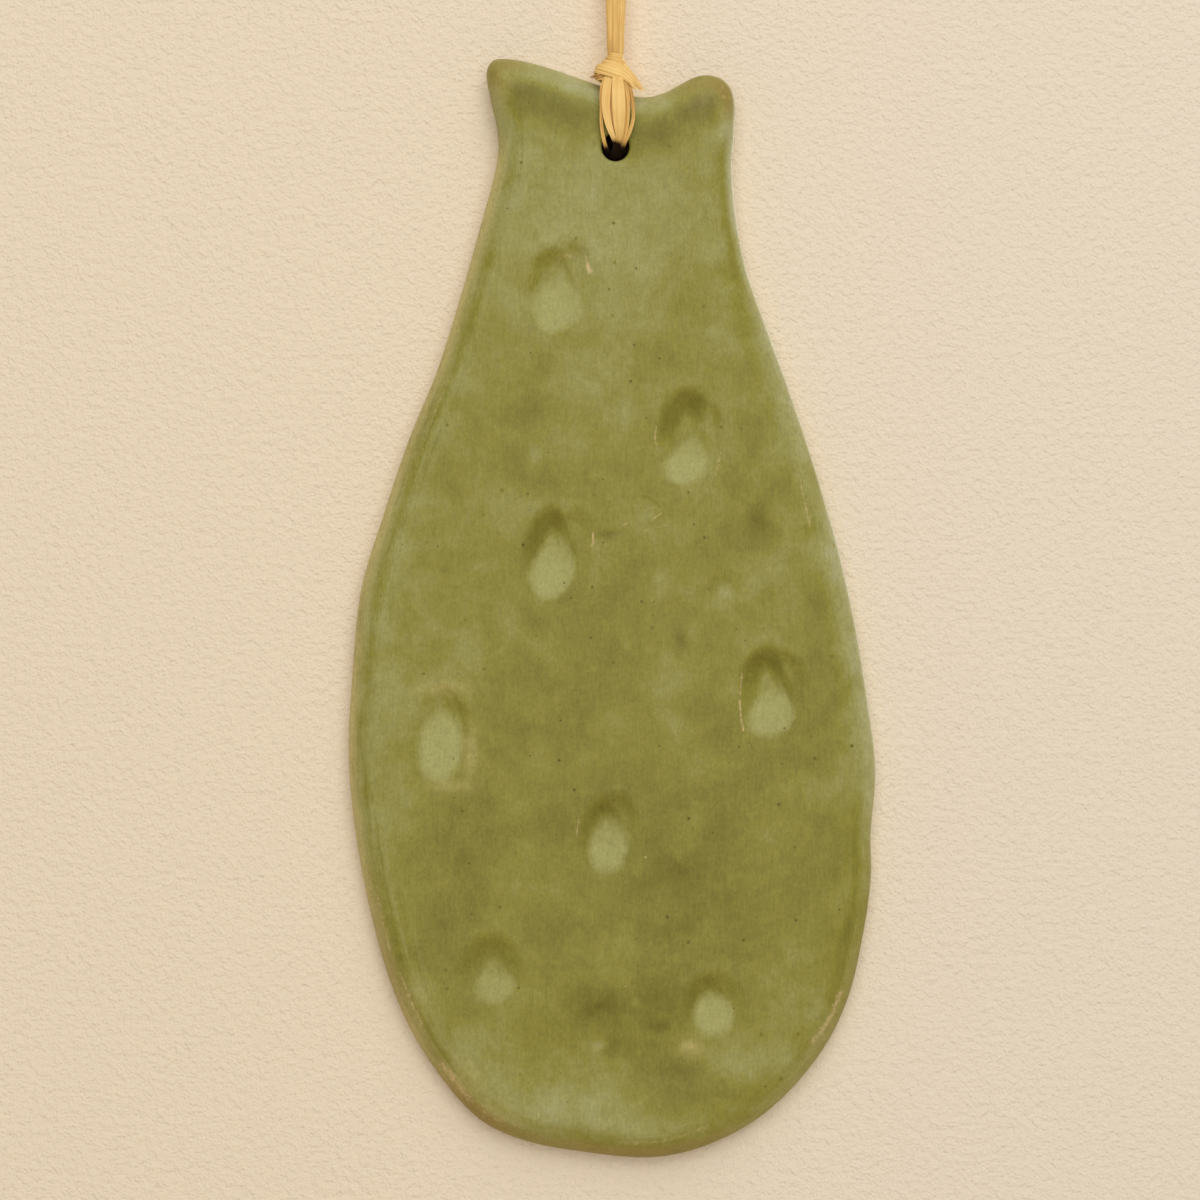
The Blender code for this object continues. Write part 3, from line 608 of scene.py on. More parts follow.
def inside(points):
    """Which points lie inside the outline, by the winding of the edge round them."""
    coarse = EDGE[::8]
    winding = np.zeros(len(points))
    for a, b in zip(coarse, np.roll(coarse, -1, axis=0)):
        first, second = a - points, b - points
        winding += np.arctan2(
            first[:, 0] * second[:, 1] - first[:, 1] * second[:, 0], (first * second).sum(axis=1)
        )
    return np.abs(winding) > math.pi


def ring_around(radius, sides):
    """Points round the hole's axis."""
    turn = math.tau * np.arange(sides) / sides
    return radius * np.stack([np.cos(turn), np.sin(turn)], axis=1)


def worked(points):
    """Which places of the face carry fine marks, and so need the closer grid."""
    fine = np.zeros(len(points), dtype=bool)
    for touches, _, _ in PRESSES:
        for x, z, half_width, half_height, *_ in touches:
            across = (points[:, 0] - x) / (half_width + 1.2)
            up = (points[:, 1] - z) / (half_height + 1.2)
            fine |= across**2 + up**2 < 1
    for half_width, _, route in WEAR + SCRATCHES:
        some = within(points, route, 3)
        fine[some] |= near_route(points[some], route) < half_width + 0.8
    return fine


def face_points(step, inset_limit, hole_limit, close=True):
    """A triangular grid over the face, twice as close where it is worked."""
    low, high = EDGE.min(axis=0), EDGE.max(axis=0)
    half = step / 2
    rows = np.arange(low[1], high[1], half * math.sqrt(3) / 2)
    columns = np.arange(low[0], high[0], half)
    j, i = np.meshgrid(np.arange(len(rows)), np.arange(len(columns)), indexing="ij")
    x = columns[i] + (j % 2) * half / 2
    coarse = (j % 2 == 0) & ((i + (j // 2) % 2) % 2 == 0)
    grid = np.stack([x.ravel(), rows[j].ravel()], axis=1)
    coarse = coarse.ravel()
    grid = grid[coarse | worked(grid)] if close else grid[coarse]
    grid = grid[inside(grid)]
    grid = grid[np.linalg.norm(grid, axis=1) > hole_limit]
    inset, _ = edge_facts(grid)
    return grid[inset > inset_limit]


def strip(first, second, count):
    """Quads between two rings of points, given by their first numbers."""
    return [(first + k, first + (k + 1) % count, second + (k + 1) % count, second + k) for k in range(count)]


def cap(outer_start, outer, hole_start, hole, free_start, free):
    """Triangles that fill the face between an outer ring and a hole, through the free points."""
    coordinates = [Vector(p) for p in np.concatenate([outer, hole, free])]
    edges = [(k, (k + 1) % len(outer)) for k in range(len(outer))]
    edges += [(len(outer) + k, len(outer) + (k + 1) % len(hole)) for k in range(len(hole))]
    _, _, triangles, origins, _, _ = delaunay_2d_cdt(coordinates, edges, [], 1, 1e-6)
    starts = [outer_start + k for k in range(len(outer))]
    starts += [hole_start + k for k in range(len(hole))]
    starts += [free_start + k for k in range(len(free))]
    lowest, highest = len(outer), len(outer) + len(hole)
    faces = []
    for triangle in triangles:
        corners = [origins[v][0] for v in triangle]
        if not all(lowest <= c < highest for c in corners):
            faces.append([starts[c] for c in corners])
    return faces


# ------------------------------------------------------------------ helpers for meshes and node trees


def shown(name, data):
    """A new object of the scene."""
    made = bpy.data.objects.new(name, data)
    bpy.context.scene.collection.objects.link(made)
    return made


def new_mesh(name, points, edges, faces, facts):
    """A mesh from points in millimetres, with its point attributes."""
    mesh = bpy.data.meshes.new(name)
    mesh.from_pydata([tuple(float(v) * MM for v in p) for p in points], edges, faces)
    for label, values in facts.items():
        attribute = mesh.attributes.new(label, "FLOAT", "POINT")
        attribute.data.foreach_set("value", np.asarray(values, dtype=float))
    return mesh


def put(tree, kind, values=None, **settings):
    """A new node with its settings, whose named or numbered inputs are given values or links."""
    node = tree.nodes.new(kind)
    for key, value in settings.items():
        setattr(node, key, value)
    for key, value in (values or {}).items():
        if isinstance(value, bpy.types.NodeSocket):
            tree.links.new(value, node.inputs[key])
        else:
            node.inputs[key].default_value = value
    return node


def calc(tree, operation, *values, clamp=False):
    """One step of arithmetic."""
    return put(
        tree, "ShaderNodeMath", dict(enumerate(values)), operation=operation, use_clamp=clamp
    ).outputs[0]


def spread(tree, value, low, high, to_low=0.0, to_high=1.0):
    """A smooth step of a value between two limits."""
    return put(
        tree,
        "ShaderNodeMapRange",
        {"Value": value, "From Min": low, "From Max": high, "To Min": to_low, "To Max": to_high},
        interpolation_type="SMOOTHSTEP",
    ).outputs["Result"]


def blend_colour(tree, share, first, second):
    """The first colour, with a share of the second."""
    return put(tree, "ShaderNodeMix", {0: share, 6: first, 7: second}, data_type="RGBA").outputs[2]


def colour_ramp(tree, value, stops):
    """The colour of a value between stops, each a place from 0 to 1 and its colour."""
    node = put(tree, "ShaderNodeValToRGB", {"Fac": value})
    elements = node.color_ramp.elements
    elements[0].color, elements[1].color = stops[0][1], stops[-1][1]
    for place, colour in stops[1:-1]:
        elements.new(place).color = colour
    return node.outputs["Color"]


def noise(tree, place, scale, detail=2.0, rough=0.5, distortion=0.0):
    """Soft noise from 0 to 1."""
    return put(
        tree,
        "ShaderNodeTexNoise",
        {"Vector": place, "Scale": scale, "Detail": detail, "Roughness": rough, "Distortion": distortion},
    ).outputs["Fac"]


def scattered(tree, place, scale):
    """Scattered places: how far off the nearest one is, and three random numbers that belong to it."""
    nearest = put(tree, "ShaderNodeTexVoronoi", {"Vector": place, "Scale": scale}, feature="F1")
    picks = put(tree, "ShaderNodeSeparateColor", {"Color": nearest.outputs["Color"]})
    return nearest.outputs["Distance"], picks.outputs


def fact(tree, name):
    """The value of one of the mesh's own attributes."""
    return put(tree, "ShaderNodeAttribute", attribute_name=name).outputs["Fac"]


def stretched(tree, place, scale):
    """Coordinates multiplied by the given scale."""
    return put(tree, "ShaderNodeMapping", {"Vector": place, "Scale": scale}).outputs["Vector"]


def placed(tree, scale=(1.0, 1.0, 1.0)):
    """Object coordinates in millimetres, stretched by the given scale."""
    source = put(tree, "ShaderNodeTexCoord").outputs["Object"]
    return stretched(tree, source, tuple(s / MM for s in scale))


def roughen(tree, shader, height, strength, distance):
    """Give a surface the fine relief of a texture."""
    bump = put(tree, "ShaderNodeBump", {"Strength": strength, "Distance": distance, "Height": height})
    tree.links.new(bump.outputs[0], shader.inputs["Normal"])


def new_material(name):
    """A material with its node tree and its Principled shader."""
    material = bpy.data.materials.new(name)
    material.use_nodes = True
    tree = material.node_tree
    tree.nodes.clear()
    shader = tree.nodes.new("ShaderNodeBsdfPrincipled")
    output = tree.nodes.new("ShaderNodeOutputMaterial")
    tree.links.new(shader.outputs[0], output.inputs["Surface"])
    return material, tree, shader


# ------------------------------------------------------------------ materials

# Noises over the glaze: scale per millimetre, detail, roughness, distortion, and share in its tone
CLOUDS = (0.045, 3, 0.55, 0.0, 0.34)
BLOTCHES = (0.16, 4, 0.6, 0.4, 0.47)
MOTTLE = (0.6, 4, 0.7, 0.0, 0.14)
BRUSH = (1.5, 3, 0.6, 0.0, 0.1)
BRUSH_STRETCH = (1.0, 0.3, 0.09)  # brush marks run up and down the pad, and so do its fine threads
THREAD_STRETCH = (1.0, 1.0, 0.14)
STREAK_STRETCH = (0.05, 0.9, 1.0)  # streaks on the roll run along it
TONE_GAIN = 1.4
# Spots, whose sizes are shares of the space between them. Soft dark ones: how many per millimetre, where one
# ends and is full, and its deeper tone. Iron specks: how many, the share of places without one, the largest
# radius and softness. Pale flecks: how many, the share of places without one, where one ends and is full.
DIM_SPOTS = (0.3, 0.16, 0.04, 0.22)
SPECKS = (0.3, 0.55, 0.062, 0.02)
FLECKS = (0.13, 0.7, 0.04, 0.02)
SPECK_SHARE = 0.7
WORN_CRUMB = (1.8, 1.5, 2.3)  # how much the worn strokes crumble, and where they start and are full
RAFFIA_FIBRES = (5.0, 0.12, 5.0)  # stretch across, along and from strand to strand
RAFFIA_BANDS = (1.6, 0.1, 3.0)


def glaze_tone(tree, place, noises):
    """How pale or deep the glaze looks: the pad's own tone, which also carries painted shade and sheen,
    noises with their shares, and soft dark spots.
    """
    tone = fact(tree, "tone")
    for texture, share in noises:
        tone = calc(tree, "MULTIPLY_ADD", calc(tree, "SUBTRACT", texture, 0.5), share, tone)
    scale, ends, full, deeper = DIM_SPOTS
    gap, picks = scattered(tree, place, scale)
    dim = calc(tree, "MULTIPLY", spread(tree, gap, ends, full), spread(tree, picks[0], 0.55, 0.9))
    return calc(tree, "MULTIPLY_ADD", dim, -deeper, tone)


def glaze_material(settings):
    """Satin sage glaze over buff clay: deeper where it pools, thin on edges, specked with iron, with painted
    shade in the roof of each press and in the hole, and painted sheen where the face turns to the light.
    """
    material, tree, shader = new_material("sage_glaze")
    place = placed(tree)
    clouds, blotches, mottle = (noise(tree, place, *given[:4]) for given in (CLOUDS, BLOTCHES, MOTTLE))
    brushed = noise(tree, placed(tree, BRUSH_STRETCH), *BRUSH[:4])
    grain = noise(tree, place, 1.7, 4, 0.75)
    noises = [(clouds, CLOUDS[4]), (blotches, BLOTCHES[4]), (mottle, MOTTLE[4]), (brushed, BRUSH[4])]
    tone = glaze_tone(tree, place, noises)
    colour = colour_ramp(
        tree,
        calc(tree, "MULTIPLY_ADD", tone, TONE_GAIN, 0.5),
        (
            (0.0, settings.glaze_deep),
            (0.5, settings.glaze_middle),
            (0.8, settings.glaze_light),
            (1.0, settings.glaze_pale),
        ),
    )

    # The pale patch on the floor of each press: paler glaze with a painted sheen.
    floor = fact(tree, "floor")
    ragged = calc(tree, "MULTIPLY_ADD", blotches, 0.5, calc(tree, "SUBTRACT", floor, 0.55))
    ragged = calc(tree, "MULTIPLY_ADD", mottle, 0.6, ragged)
    floor = calc(tree, "MULTIPLY", spread(tree, ragged, 0.0, 1.0), spread(tree, floor, 0.0, 0.3))
    on_rim = put(tree, "ShaderNodeCombineXYZ", {"X": fact(tree, "along"), "Y": fact(tree, "inset")})
    streaks = noise(tree, stretched(tree, on_rim.outputs[0], STREAK_STRETCH), 1.0, 3, 0.6)
    rim = fact(tree, "rim")
    light = calc(tree, "MULTIPLY", spread(tree, streaks, 0.52, 0.72), calc(tree, "MULTIPLY", rim, 0.35))
    dark = calc(tree, "MULTIPLY", spread(tree, streaks, 0.46, 0.3), calc(tree, "MULTIPLY", rim, 0.4))
    patchy = calc(tree, "ADD", mottle, streaks)
    thinner, browner = spread(tree, patchy, 0.65, 1.2, 0.55, 1.2), spread(tree, patchy, 0.6, 1.2, 0.7, 1.1)
    crumble, starts, full = WORN_CRUMB
    crumb = calc(tree, "MULTIPLY_ADD", noise(tree, place, 1.4, 4, 0.75), crumble, fact(tree, "wear"))
    worn = spread(tree, crumb, starts, full)
    for share, layer in (
        (floor, settings.glaze_floor_sheen),
        (light, settings.glaze_pale),
        (dark, settings.glaze_deep),
        (calc(tree, "MULTIPLY", fact(tree, "thin"), thinner, clamp=True), settings.glaze_thin),
        (calc(tree, "MULTIPLY", fact(tree, "brown"), browner, clamp=True), settings.glaze_brown),
        (worn, settings.glaze_worn),
        # painted shade inside the hole
        (fact(tree, "bore"), settings.bore),
    ):
        colour = blend_colour(tree, share, colour, layer)

    threads = noise(tree, placed(tree, THREAD_STRETCH), 3.6, 2, 0.6)
    dapple = calc(tree, "MULTIPLY_ADD", grain, 0.7, calc(tree, "MULTIPLY_ADD", threads, 0.4, 0.45))
    colour = put(tree, "ShaderNodeVectorMath", {0: colour, "Scale": dapple}, operation="SCALE").outputs[0]
    scale, without, largest, soft = SPECKS
    gap, picks = scattered(tree, place, scale)
    size = spread(tree, picks[1], without, 1.0, 0.0, largest)
    speck = spread(tree, calc(tree, "SUBTRACT", gap, size), soft, -soft)
    speck = calc(tree, "MULTIPLY", speck, calc(tree, "GREATER_THAN", picks[1], without))
    scale, without, ends, full = FLECKS
    gap, picks = scattered(tree, place, scale)
    present = calc(tree, "GREATER_THAN", picks[2], without)
    fleck = calc(tree, "MULTIPLY", spread(tree, gap, ends, full), present)
    for share, layer in ((speck, settings.speck), (fleck, settings.fleck)):
        colour = blend_colour(tree, calc(tree, "MULTIPLY", share, SPECK_SHARE), colour, layer)

    bare = fact(tree, "bare")
    clay_grain = noise(tree, place, 0.9, 5, 0.7)
    clay = blend_colour(tree, clay_grain, settings.clay, settings.clay_dark)
    uneven = calc(tree, "MULTIPLY_ADD", clay_grain, 0.3, bare)
    colour = blend_colour(tree, spread(tree, uneven, 0.6, 0.7), colour, clay)
    tree.links.new(colour, shader.inputs["Base Color"])

    shader.inputs["Specular IOR Level"].default_value = 0.28
    gloss = calc(tree, "MULTIPLY_ADD", grain, 0.12, 0.46)
    gloss = calc(tree, "MULTIPLY_ADD", worn, 0.2, gloss)
    gloss = calc(tree, "MAXIMUM", gloss, calc(tree, "MULTIPLY", bare, 0.85))
    tree.links.new(gloss, shader.inputs["Roughness"])
    relief = calc(tree, "MULTIPLY", brushed, 0.5)
    on_roll = calc(tree, "MULTIPLY", streaks, rim)
    for texture, height in ((grain, 0.45), (mottle, 1.0), (worn, -1.2), (speck, -0.8), (on_roll, 0.8)):
        relief = calc(tree, "MULTIPLY_ADD", texture, height, relief)
    roughen(tree, shader, relief, 0.55, 0.06 * MM)
    return material


def raffia_material(settings):
    """Dry palm fibre: long streaks of straw and tan along the strand, with a faint gloss, darkened by painted
    shade inside the hole.
    """
    material, tree, shader = new_material("raffia_fibre")
    grid = put(
        tree, "ShaderNodeCombineXYZ",
        {"X": fact(tree, "across"), "Y": fact(tree, "run"), "Z": fact(tree, "strand")},
    ).outputs[0]
    fibres = noise(tree, stretched(tree, grid, RAFFIA_FIBRES), 1.0, 3, 0.6)
    bands = noise(tree, stretched(tree, grid, RAFFIA_BANDS), 1.0, 2, 0.5)
    shade = calc(tree, "MULTIPLY_ADD", bands, 0.6, fact(tree, "tone"))
    shade = calc(tree, "MULTIPLY_ADD", fibres, 0.7, shade)
    straw = colour_ramp(
        tree,
        spread(tree, shade, 0.3, 1.0),
        ((0.0, settings.raffia_dark), (0.45, settings.raffia_middle), (1.0, settings.raffia_light)),
    )
    # Painted shade: the ribbons darken where they pass into the hole.
    hole_shade = fact(tree, "hole_shade")
    tree.links.new(blend_colour(tree, hole_shade, straw, settings.hole_shade), shader.inputs["Base Color"])
    tree.links.new(calc(tree, "MULTIPLY_ADD", hole_shade, 0.45, 0.5), shader.inputs["Roughness"])
    shader.inputs["Specular IOR Level"].default_value = 0.3
    roughen(tree, shader, fibres, 0.6, 0.08 * MM)
    return material


def wall_material(name, colour, see_through_back):
    """Rolled emulsion paint, with painted cooler light toward the right. The wall's back lets sight through,
    so that the pad's back can be looked at.
    """
    material, tree, shader = new_material(name)
    place = placed(tree)
    across = put(tree, "ShaderNodeSeparateXYZ", {"Vector": place}).outputs[0]
    # Painted light: the colour turns cooler toward the right, standing in for cooler light there.
    cooler = [part * share for part, share in zip(colour, WALL_COOL_LIGHT_TINT)]
    paint = blend_colour(tree, spread(tree, across, *WALL_COOL_LIGHT_SPAN), colour, cooler)
    tree.links.new(paint, shader.inputs["Base Color"])
    shader.inputs["Roughness"].default_value = 0.85
    height = 0.0
    for scale, detail, share in PAINT_RELIEF:
        height = calc(tree, "MULTIPLY_ADD", noise(tree, place, scale, detail), share, height)
    roughen(tree, shader, height, 1.0, PAINT_DENTS)
    if see_through_back:
        clear = put(tree, "ShaderNodeBsdfTransparent")
        facing = put(tree, "ShaderNodeNewGeometry").outputs["Backfacing"]
        both = put(tree, "ShaderNodeMixShader", {0: facing, 1: shader.outputs[0], 2: clear.outputs[0]})
        output = next(n for n in tree.nodes if n.type == "OUTPUT_MATERIAL")
        tree.links.new(both.outputs[0], output.inputs["Surface"])
    return material


# ------------------------------------------------------------------ settings

LINEAR = {"subtype": "COLOR", "size": 4, "min": 0.0, "max": 1.0}


class PadSettings(bpy.types.PropertyGroup):
    """Sizes and colours of the clay pad."""

    face_step: FloatProperty(
        name="Face step", description="Grid of the plain face", default=0.62 * MM, unit="LENGTH", precision=5
    )
    rim_step: FloatProperty(
        name="Rim step", description="Spacing of points along the edge", default=0.6 * MM, unit="LENGTH",
        precision=5,
    )
    glaze_deep: FloatVectorProperty(
        name="Deep glaze", description="Where it pools", default=(0.12, 0.102, 0.004, 1), **LINEAR
    )
    glaze_middle: FloatVectorProperty(
        name="Glaze", description="Over most of the face", default=(0.25, 0.232, 0.036, 1), **LINEAR
    )
    glaze_light: FloatVectorProperty(
        name="Light glaze", description="Where it is even and thin", default=(0.33, 0.318, 0.112, 1), **LINEAR
    )
    glaze_pale: FloatVectorProperty(
        name="Pale glaze", description="On the crests", default=(0.4, 0.398, 0.205, 1), **LINEAR
    )
    # Paler glaze with a painted sheen, on the floor of each press where it faces the light.
    glaze_floor_sheen: FloatVectorProperty(
        name="Floor glaze", description="On the floors of the presses",
        default=(0.35, 0.34, 0.114, 1), **LINEAR,
    )
    glaze_thin: FloatVectorProperty(
        name="Thin glaze", description="Over ridges, where clay shows through",
        default=(0.515, 0.43, 0.166, 1), **LINEAR,
    )
    glaze_brown: FloatVectorProperty(
        name="Brown glaze", description="Where it is burnt on the side",
        default=(0.29, 0.205, 0.05, 1), **LINEAR,
    )
    glaze_worn: FloatVectorProperty(
        name="Worn glaze", description="Where it is rubbed through", default=(0.6, 0.45, 0.22, 1), **LINEAR
    )
    clay: FloatVectorProperty(
        name="Clay", description="Fired clay body", default=(0.56, 0.42, 0.25, 1), **LINEAR
    )
    clay_dark: FloatVectorProperty(
        name="Dark clay", description="Its darker grains", default=(0.4, 0.28, 0.15, 1), **LINEAR
    )
    # Painted shade: the colour that darkens the inside of the hole.
    bore: FloatVectorProperty(
        name="Bore", description="Burnt glaze inside the hole", default=(0.032, 0.013, 0.003, 1), **LINEAR
    )
    speck: FloatVectorProperty(
        name="Iron speck", description="Iron grit in the glaze", default=(0.05, 0.042, 0.004, 1), **LINEAR
    )
    fleck: FloatVectorProperty(
        name="Fleck", description="Bits of the body that stay pale", default=(0.62, 0.56, 0.3, 1), **LINEAR
    )


class RaffiaSettings(bpy.types.PropertyGroup):
    """Sizes and colours of the raffia."""

    sides: IntProperty(name="Sides", description="Points round a ribbon", default=28, min=6, max=64)
    thickness: FloatProperty(
        name="Thickness", description="Share of a ribbon's half width", default=0.15, min=0.02, max=1.0
    )
    pleat: FloatProperty(
        name="Pleat depth", description="Share of a ribbon's half width", default=0.07, min=0.0, max=0.5
    )
    fibre: FloatProperty(
        name="Fibre relief", description="Height of single fibres", default=0.05 * MM, unit="LENGTH",
        precision=5,
    )
    raffia_dark: FloatVectorProperty(
        name="Tan", description="Dark streaks", default=(0.4, 0.2, 0.045, 1), **LINEAR
    )
    raffia_middle: FloatVectorProperty(
        name="Straw", description="Most of the fibre", default=(0.73, 0.45, 0.13, 1), **LINEAR
    )
    raffia_light: FloatVectorProperty(
        name="Pale straw", description="Light streaks", default=(0.88, 0.61, 0.225, 1), **LINEAR
    )
    # Painted shade: the colour the ribbons darken to inside the hole.
    hole_shade: FloatVectorProperty(
        name="Stain", description="Dark stain inside the hole", default=(0.024, 0.009, 0.0015, 1), **LINEAR
    )


class StageSettings(bpy.types.PropertyGroup):
    """The wall, the floor, the light and the camera."""

    paint: FloatVectorProperty(
        name="Paint", description="Colour of the wall and floor", default=(0.8, 0.69, 0.53, 1), **LINEAR
    )
    light: FloatVectorProperty(
        name="Light", description="Colour of the soft light", default=(1.0, 0.975, 0.945),
        subtype="COLOR", size=3,
    )
    lens: FloatProperty(
        name="Lens", description="Focal length in millimetres", default=100.0, min=20.0, max=300.0
    )
    view_size: FloatProperty(
        name="View size", description="Height of the view at the pad", default=218.8 * MM, unit="LENGTH"
    )
    view_x: FloatProperty(name="View X", description="Middle of the view", default=-2.8 * MM, unit="LENGTH")
    view_z: FloatProperty(name="View Z", description="Middle of the view", default=-132.1 * MM, unit="LENGTH")


# ------------------------------------------------------------------ the pieces


def build_pad(settings):
    """The slab of clay, with the marks of the hand in its mesh and facts for its glaze."""
    outline = through(OUTLINE, settings.rim_step / MM, closed=True)
    normal = inward(outline)
    points, faces, flats = [], [], []

    def add(flat, height):
        start = len(points)
        heights = np.broadcast_to(height, len(flat))
        points.extend((x, BACK_Y - h, z - HOLE_DROP) for (x, z), h in zip(flat, heights))
        flats.append(flat)
        return start

    def add_face(flat):
        return add(flat, face_height(flat, edge_facts(flat)))

    rings = [add(outline + inset * normal, height) for inset, height in SIDE_RINGS]
    rings += [add_face(outline + inset * normal) for inset in FACE_RINGS]
    back, edge = (outline + inset * normal for inset in (SIDE_RINGS[0][0], FACE_RINGS[-1]))
    for first, second in zip(rings, rings[1:]):
        faces.extend(strip(first, second, len(outline)))

    mouth = ring_around(MOUTH_RADIUS, HOLE_SIDES)
    bore = ring_around(HOLE_RADIUS, HOLE_SIDES)
    back_hole = ring_around(HOLE_RADIUS + BACK_LIP, HOLE_SIDES)
    lip_height = face_height(mouth, edge_facts(mouth))
    bore_rings = [add(mouth, lip_height)]
    for widening, drop in LIP_RINGS:
        bore_rings.append(add(ring_around(HOLE_RADIUS + widening, HOLE_SIDES), lip_height - drop))
    bore_rings += [add(bore, height) for height in BORE_HEIGHTS]
    bore_rings.append(add(back_hole, 0.0))
    for first, second in zip(bore_rings, bore_rings[1:]):
        faces.extend(strip(first, second, HOLE_SIDES))

    inset_limit, clear = FACE_CLEAR
    free = face_points(settings.face_step / MM, inset_limit, MOUTH_RADIUS + clear)
    faces.extend(cap(rings[-1], edge, bore_rings[0], mouth, add_face(free), free))
    inset_limit, clear = BACK_CLEAR
    free = face_points(BACK_STEP, inset_limit, MOUTH_RADIUS + clear, close=False)
    faces.extend(cap(rings[0], back, bore_rings[-1], back_hole, add(free, 0.0), free))

    height = BACK_Y - np.array([p[1] for p in points])
    mesh = new_mesh("pressed_pad", points, [], faces, glaze_facts(np.concatenate(flats), height))
    shape = bmesh.new()
    shape.from_mesh(mesh)
    bmesh.ops.recalc_face_normals(shape, faces=shape.faces)
    shape.to_mesh(mesh)
    shape.free()
    mesh.shade_smooth()
    mesh.materials.append(glaze_material(settings))
    return shown("pressed_pad", mesh)


def glaze_facts(flat, height):
    """What the glaze does at each point of the pad, with its painted shade and sheen, for its material to
    read.
    """
    inset, along = edge_facts(flat)
    front = height > SIDE_HEIGHT
    top, below = top_side(flat), step_up(flat[:, 1], *FOOT_FROM)
    right, left = (step_up(side * flat[:, 0], *FLANK_FROM) for side in (1, -1))
    flank = (1 - top) * (1 - below)

    # The tone takes the painted shade in the roof of each press, which is partly pooled glaze.
    _, floor_sheens, roof_shades = zip(*(press(flat, spec) for spec in PRESSES))
    tone = patches(flat, GLAZE_AND_SHEEN_PATCHES) - np.max(roof_shades, axis=0) - SCRATCH_TONE * strokes(flat, SCRATCHES)
    tone -= TOP_HOLLOW[3] * top_hollow(flat, inset)
    # Painted sheen, with paler glaze, on the top crest and on the flanks of the roll that face the light.
    ends, full, paler = TOP_CREST
    tone += paler * top * step_up(inset, ends, full)
    reach, lighter = RIM_LEFT
    tone += lighter * left * flank * hump(inset, 0.0, reach)
    body_reach, neck_reach, lighter = RIM_RIGHT
    reach = body_reach + (neck_reach - body_reach) * step_up(flat[:, 1], *RIM_NECK)
    starts, full, fading = RIM_FADES
    lighter = lighter * (1 - fading * step_up(flat[:, 1], starts, full))
    tone += lighter * right * flank * hump(inset, 0.0, reach)
    neck = step_up(flat[:, 0], *NECK_SIDE) * step_up(flat[:, 1], *NECK_HEIGHT)
    low = right * step_up(flat[:, 1], *CREASE_LOW)
    for (at, half_width, deeper), span in ((CREASE_LEFT, left), (CREASE_NECK, neck), (CREASE_RIGHT, low)):
        tone -= deeper * span * flank * hump(inset, at, half_width)

    reach, on_left, on_right, on_top, at_foot = EDGE_THIN
    side = (on_left * left + on_right * right) * flank + on_top * top + at_foot * below
    thin = patches(flat, THIN) + side * hump(inset, 0.0, reach)
    return {
        "inset": np.where(front, inset, 0.0),
        "along": along,
        # paler glaze with a painted sheen on the floor of each press
        "floor": np.max(floor_sheens, axis=0) * front,
        "wear": strokes(flat, WEAR) * front,
        "tone": tone,
        "thin": np.where(front, thin, np.clip(side + 0.1, 0, 1)),
        "brown": np.clip(patches(flat, BROWN), 0, 1) * step_up(inset, *BROWN_INSET),
        "rim": step_up(inset, *STREAKED) * (1 - 0.8 * top) * (0.35 + 0.65 * left),
        # painted shade inside the hole
        "bore": step_up(np.hypot(flat[:, 0], flat[:, 1]), *BORE_SHADE) * (height > 0.3),
        "bare": (height < 0.02) * np.clip((inset - 1.8) / 0.5, 0, 1),
    }


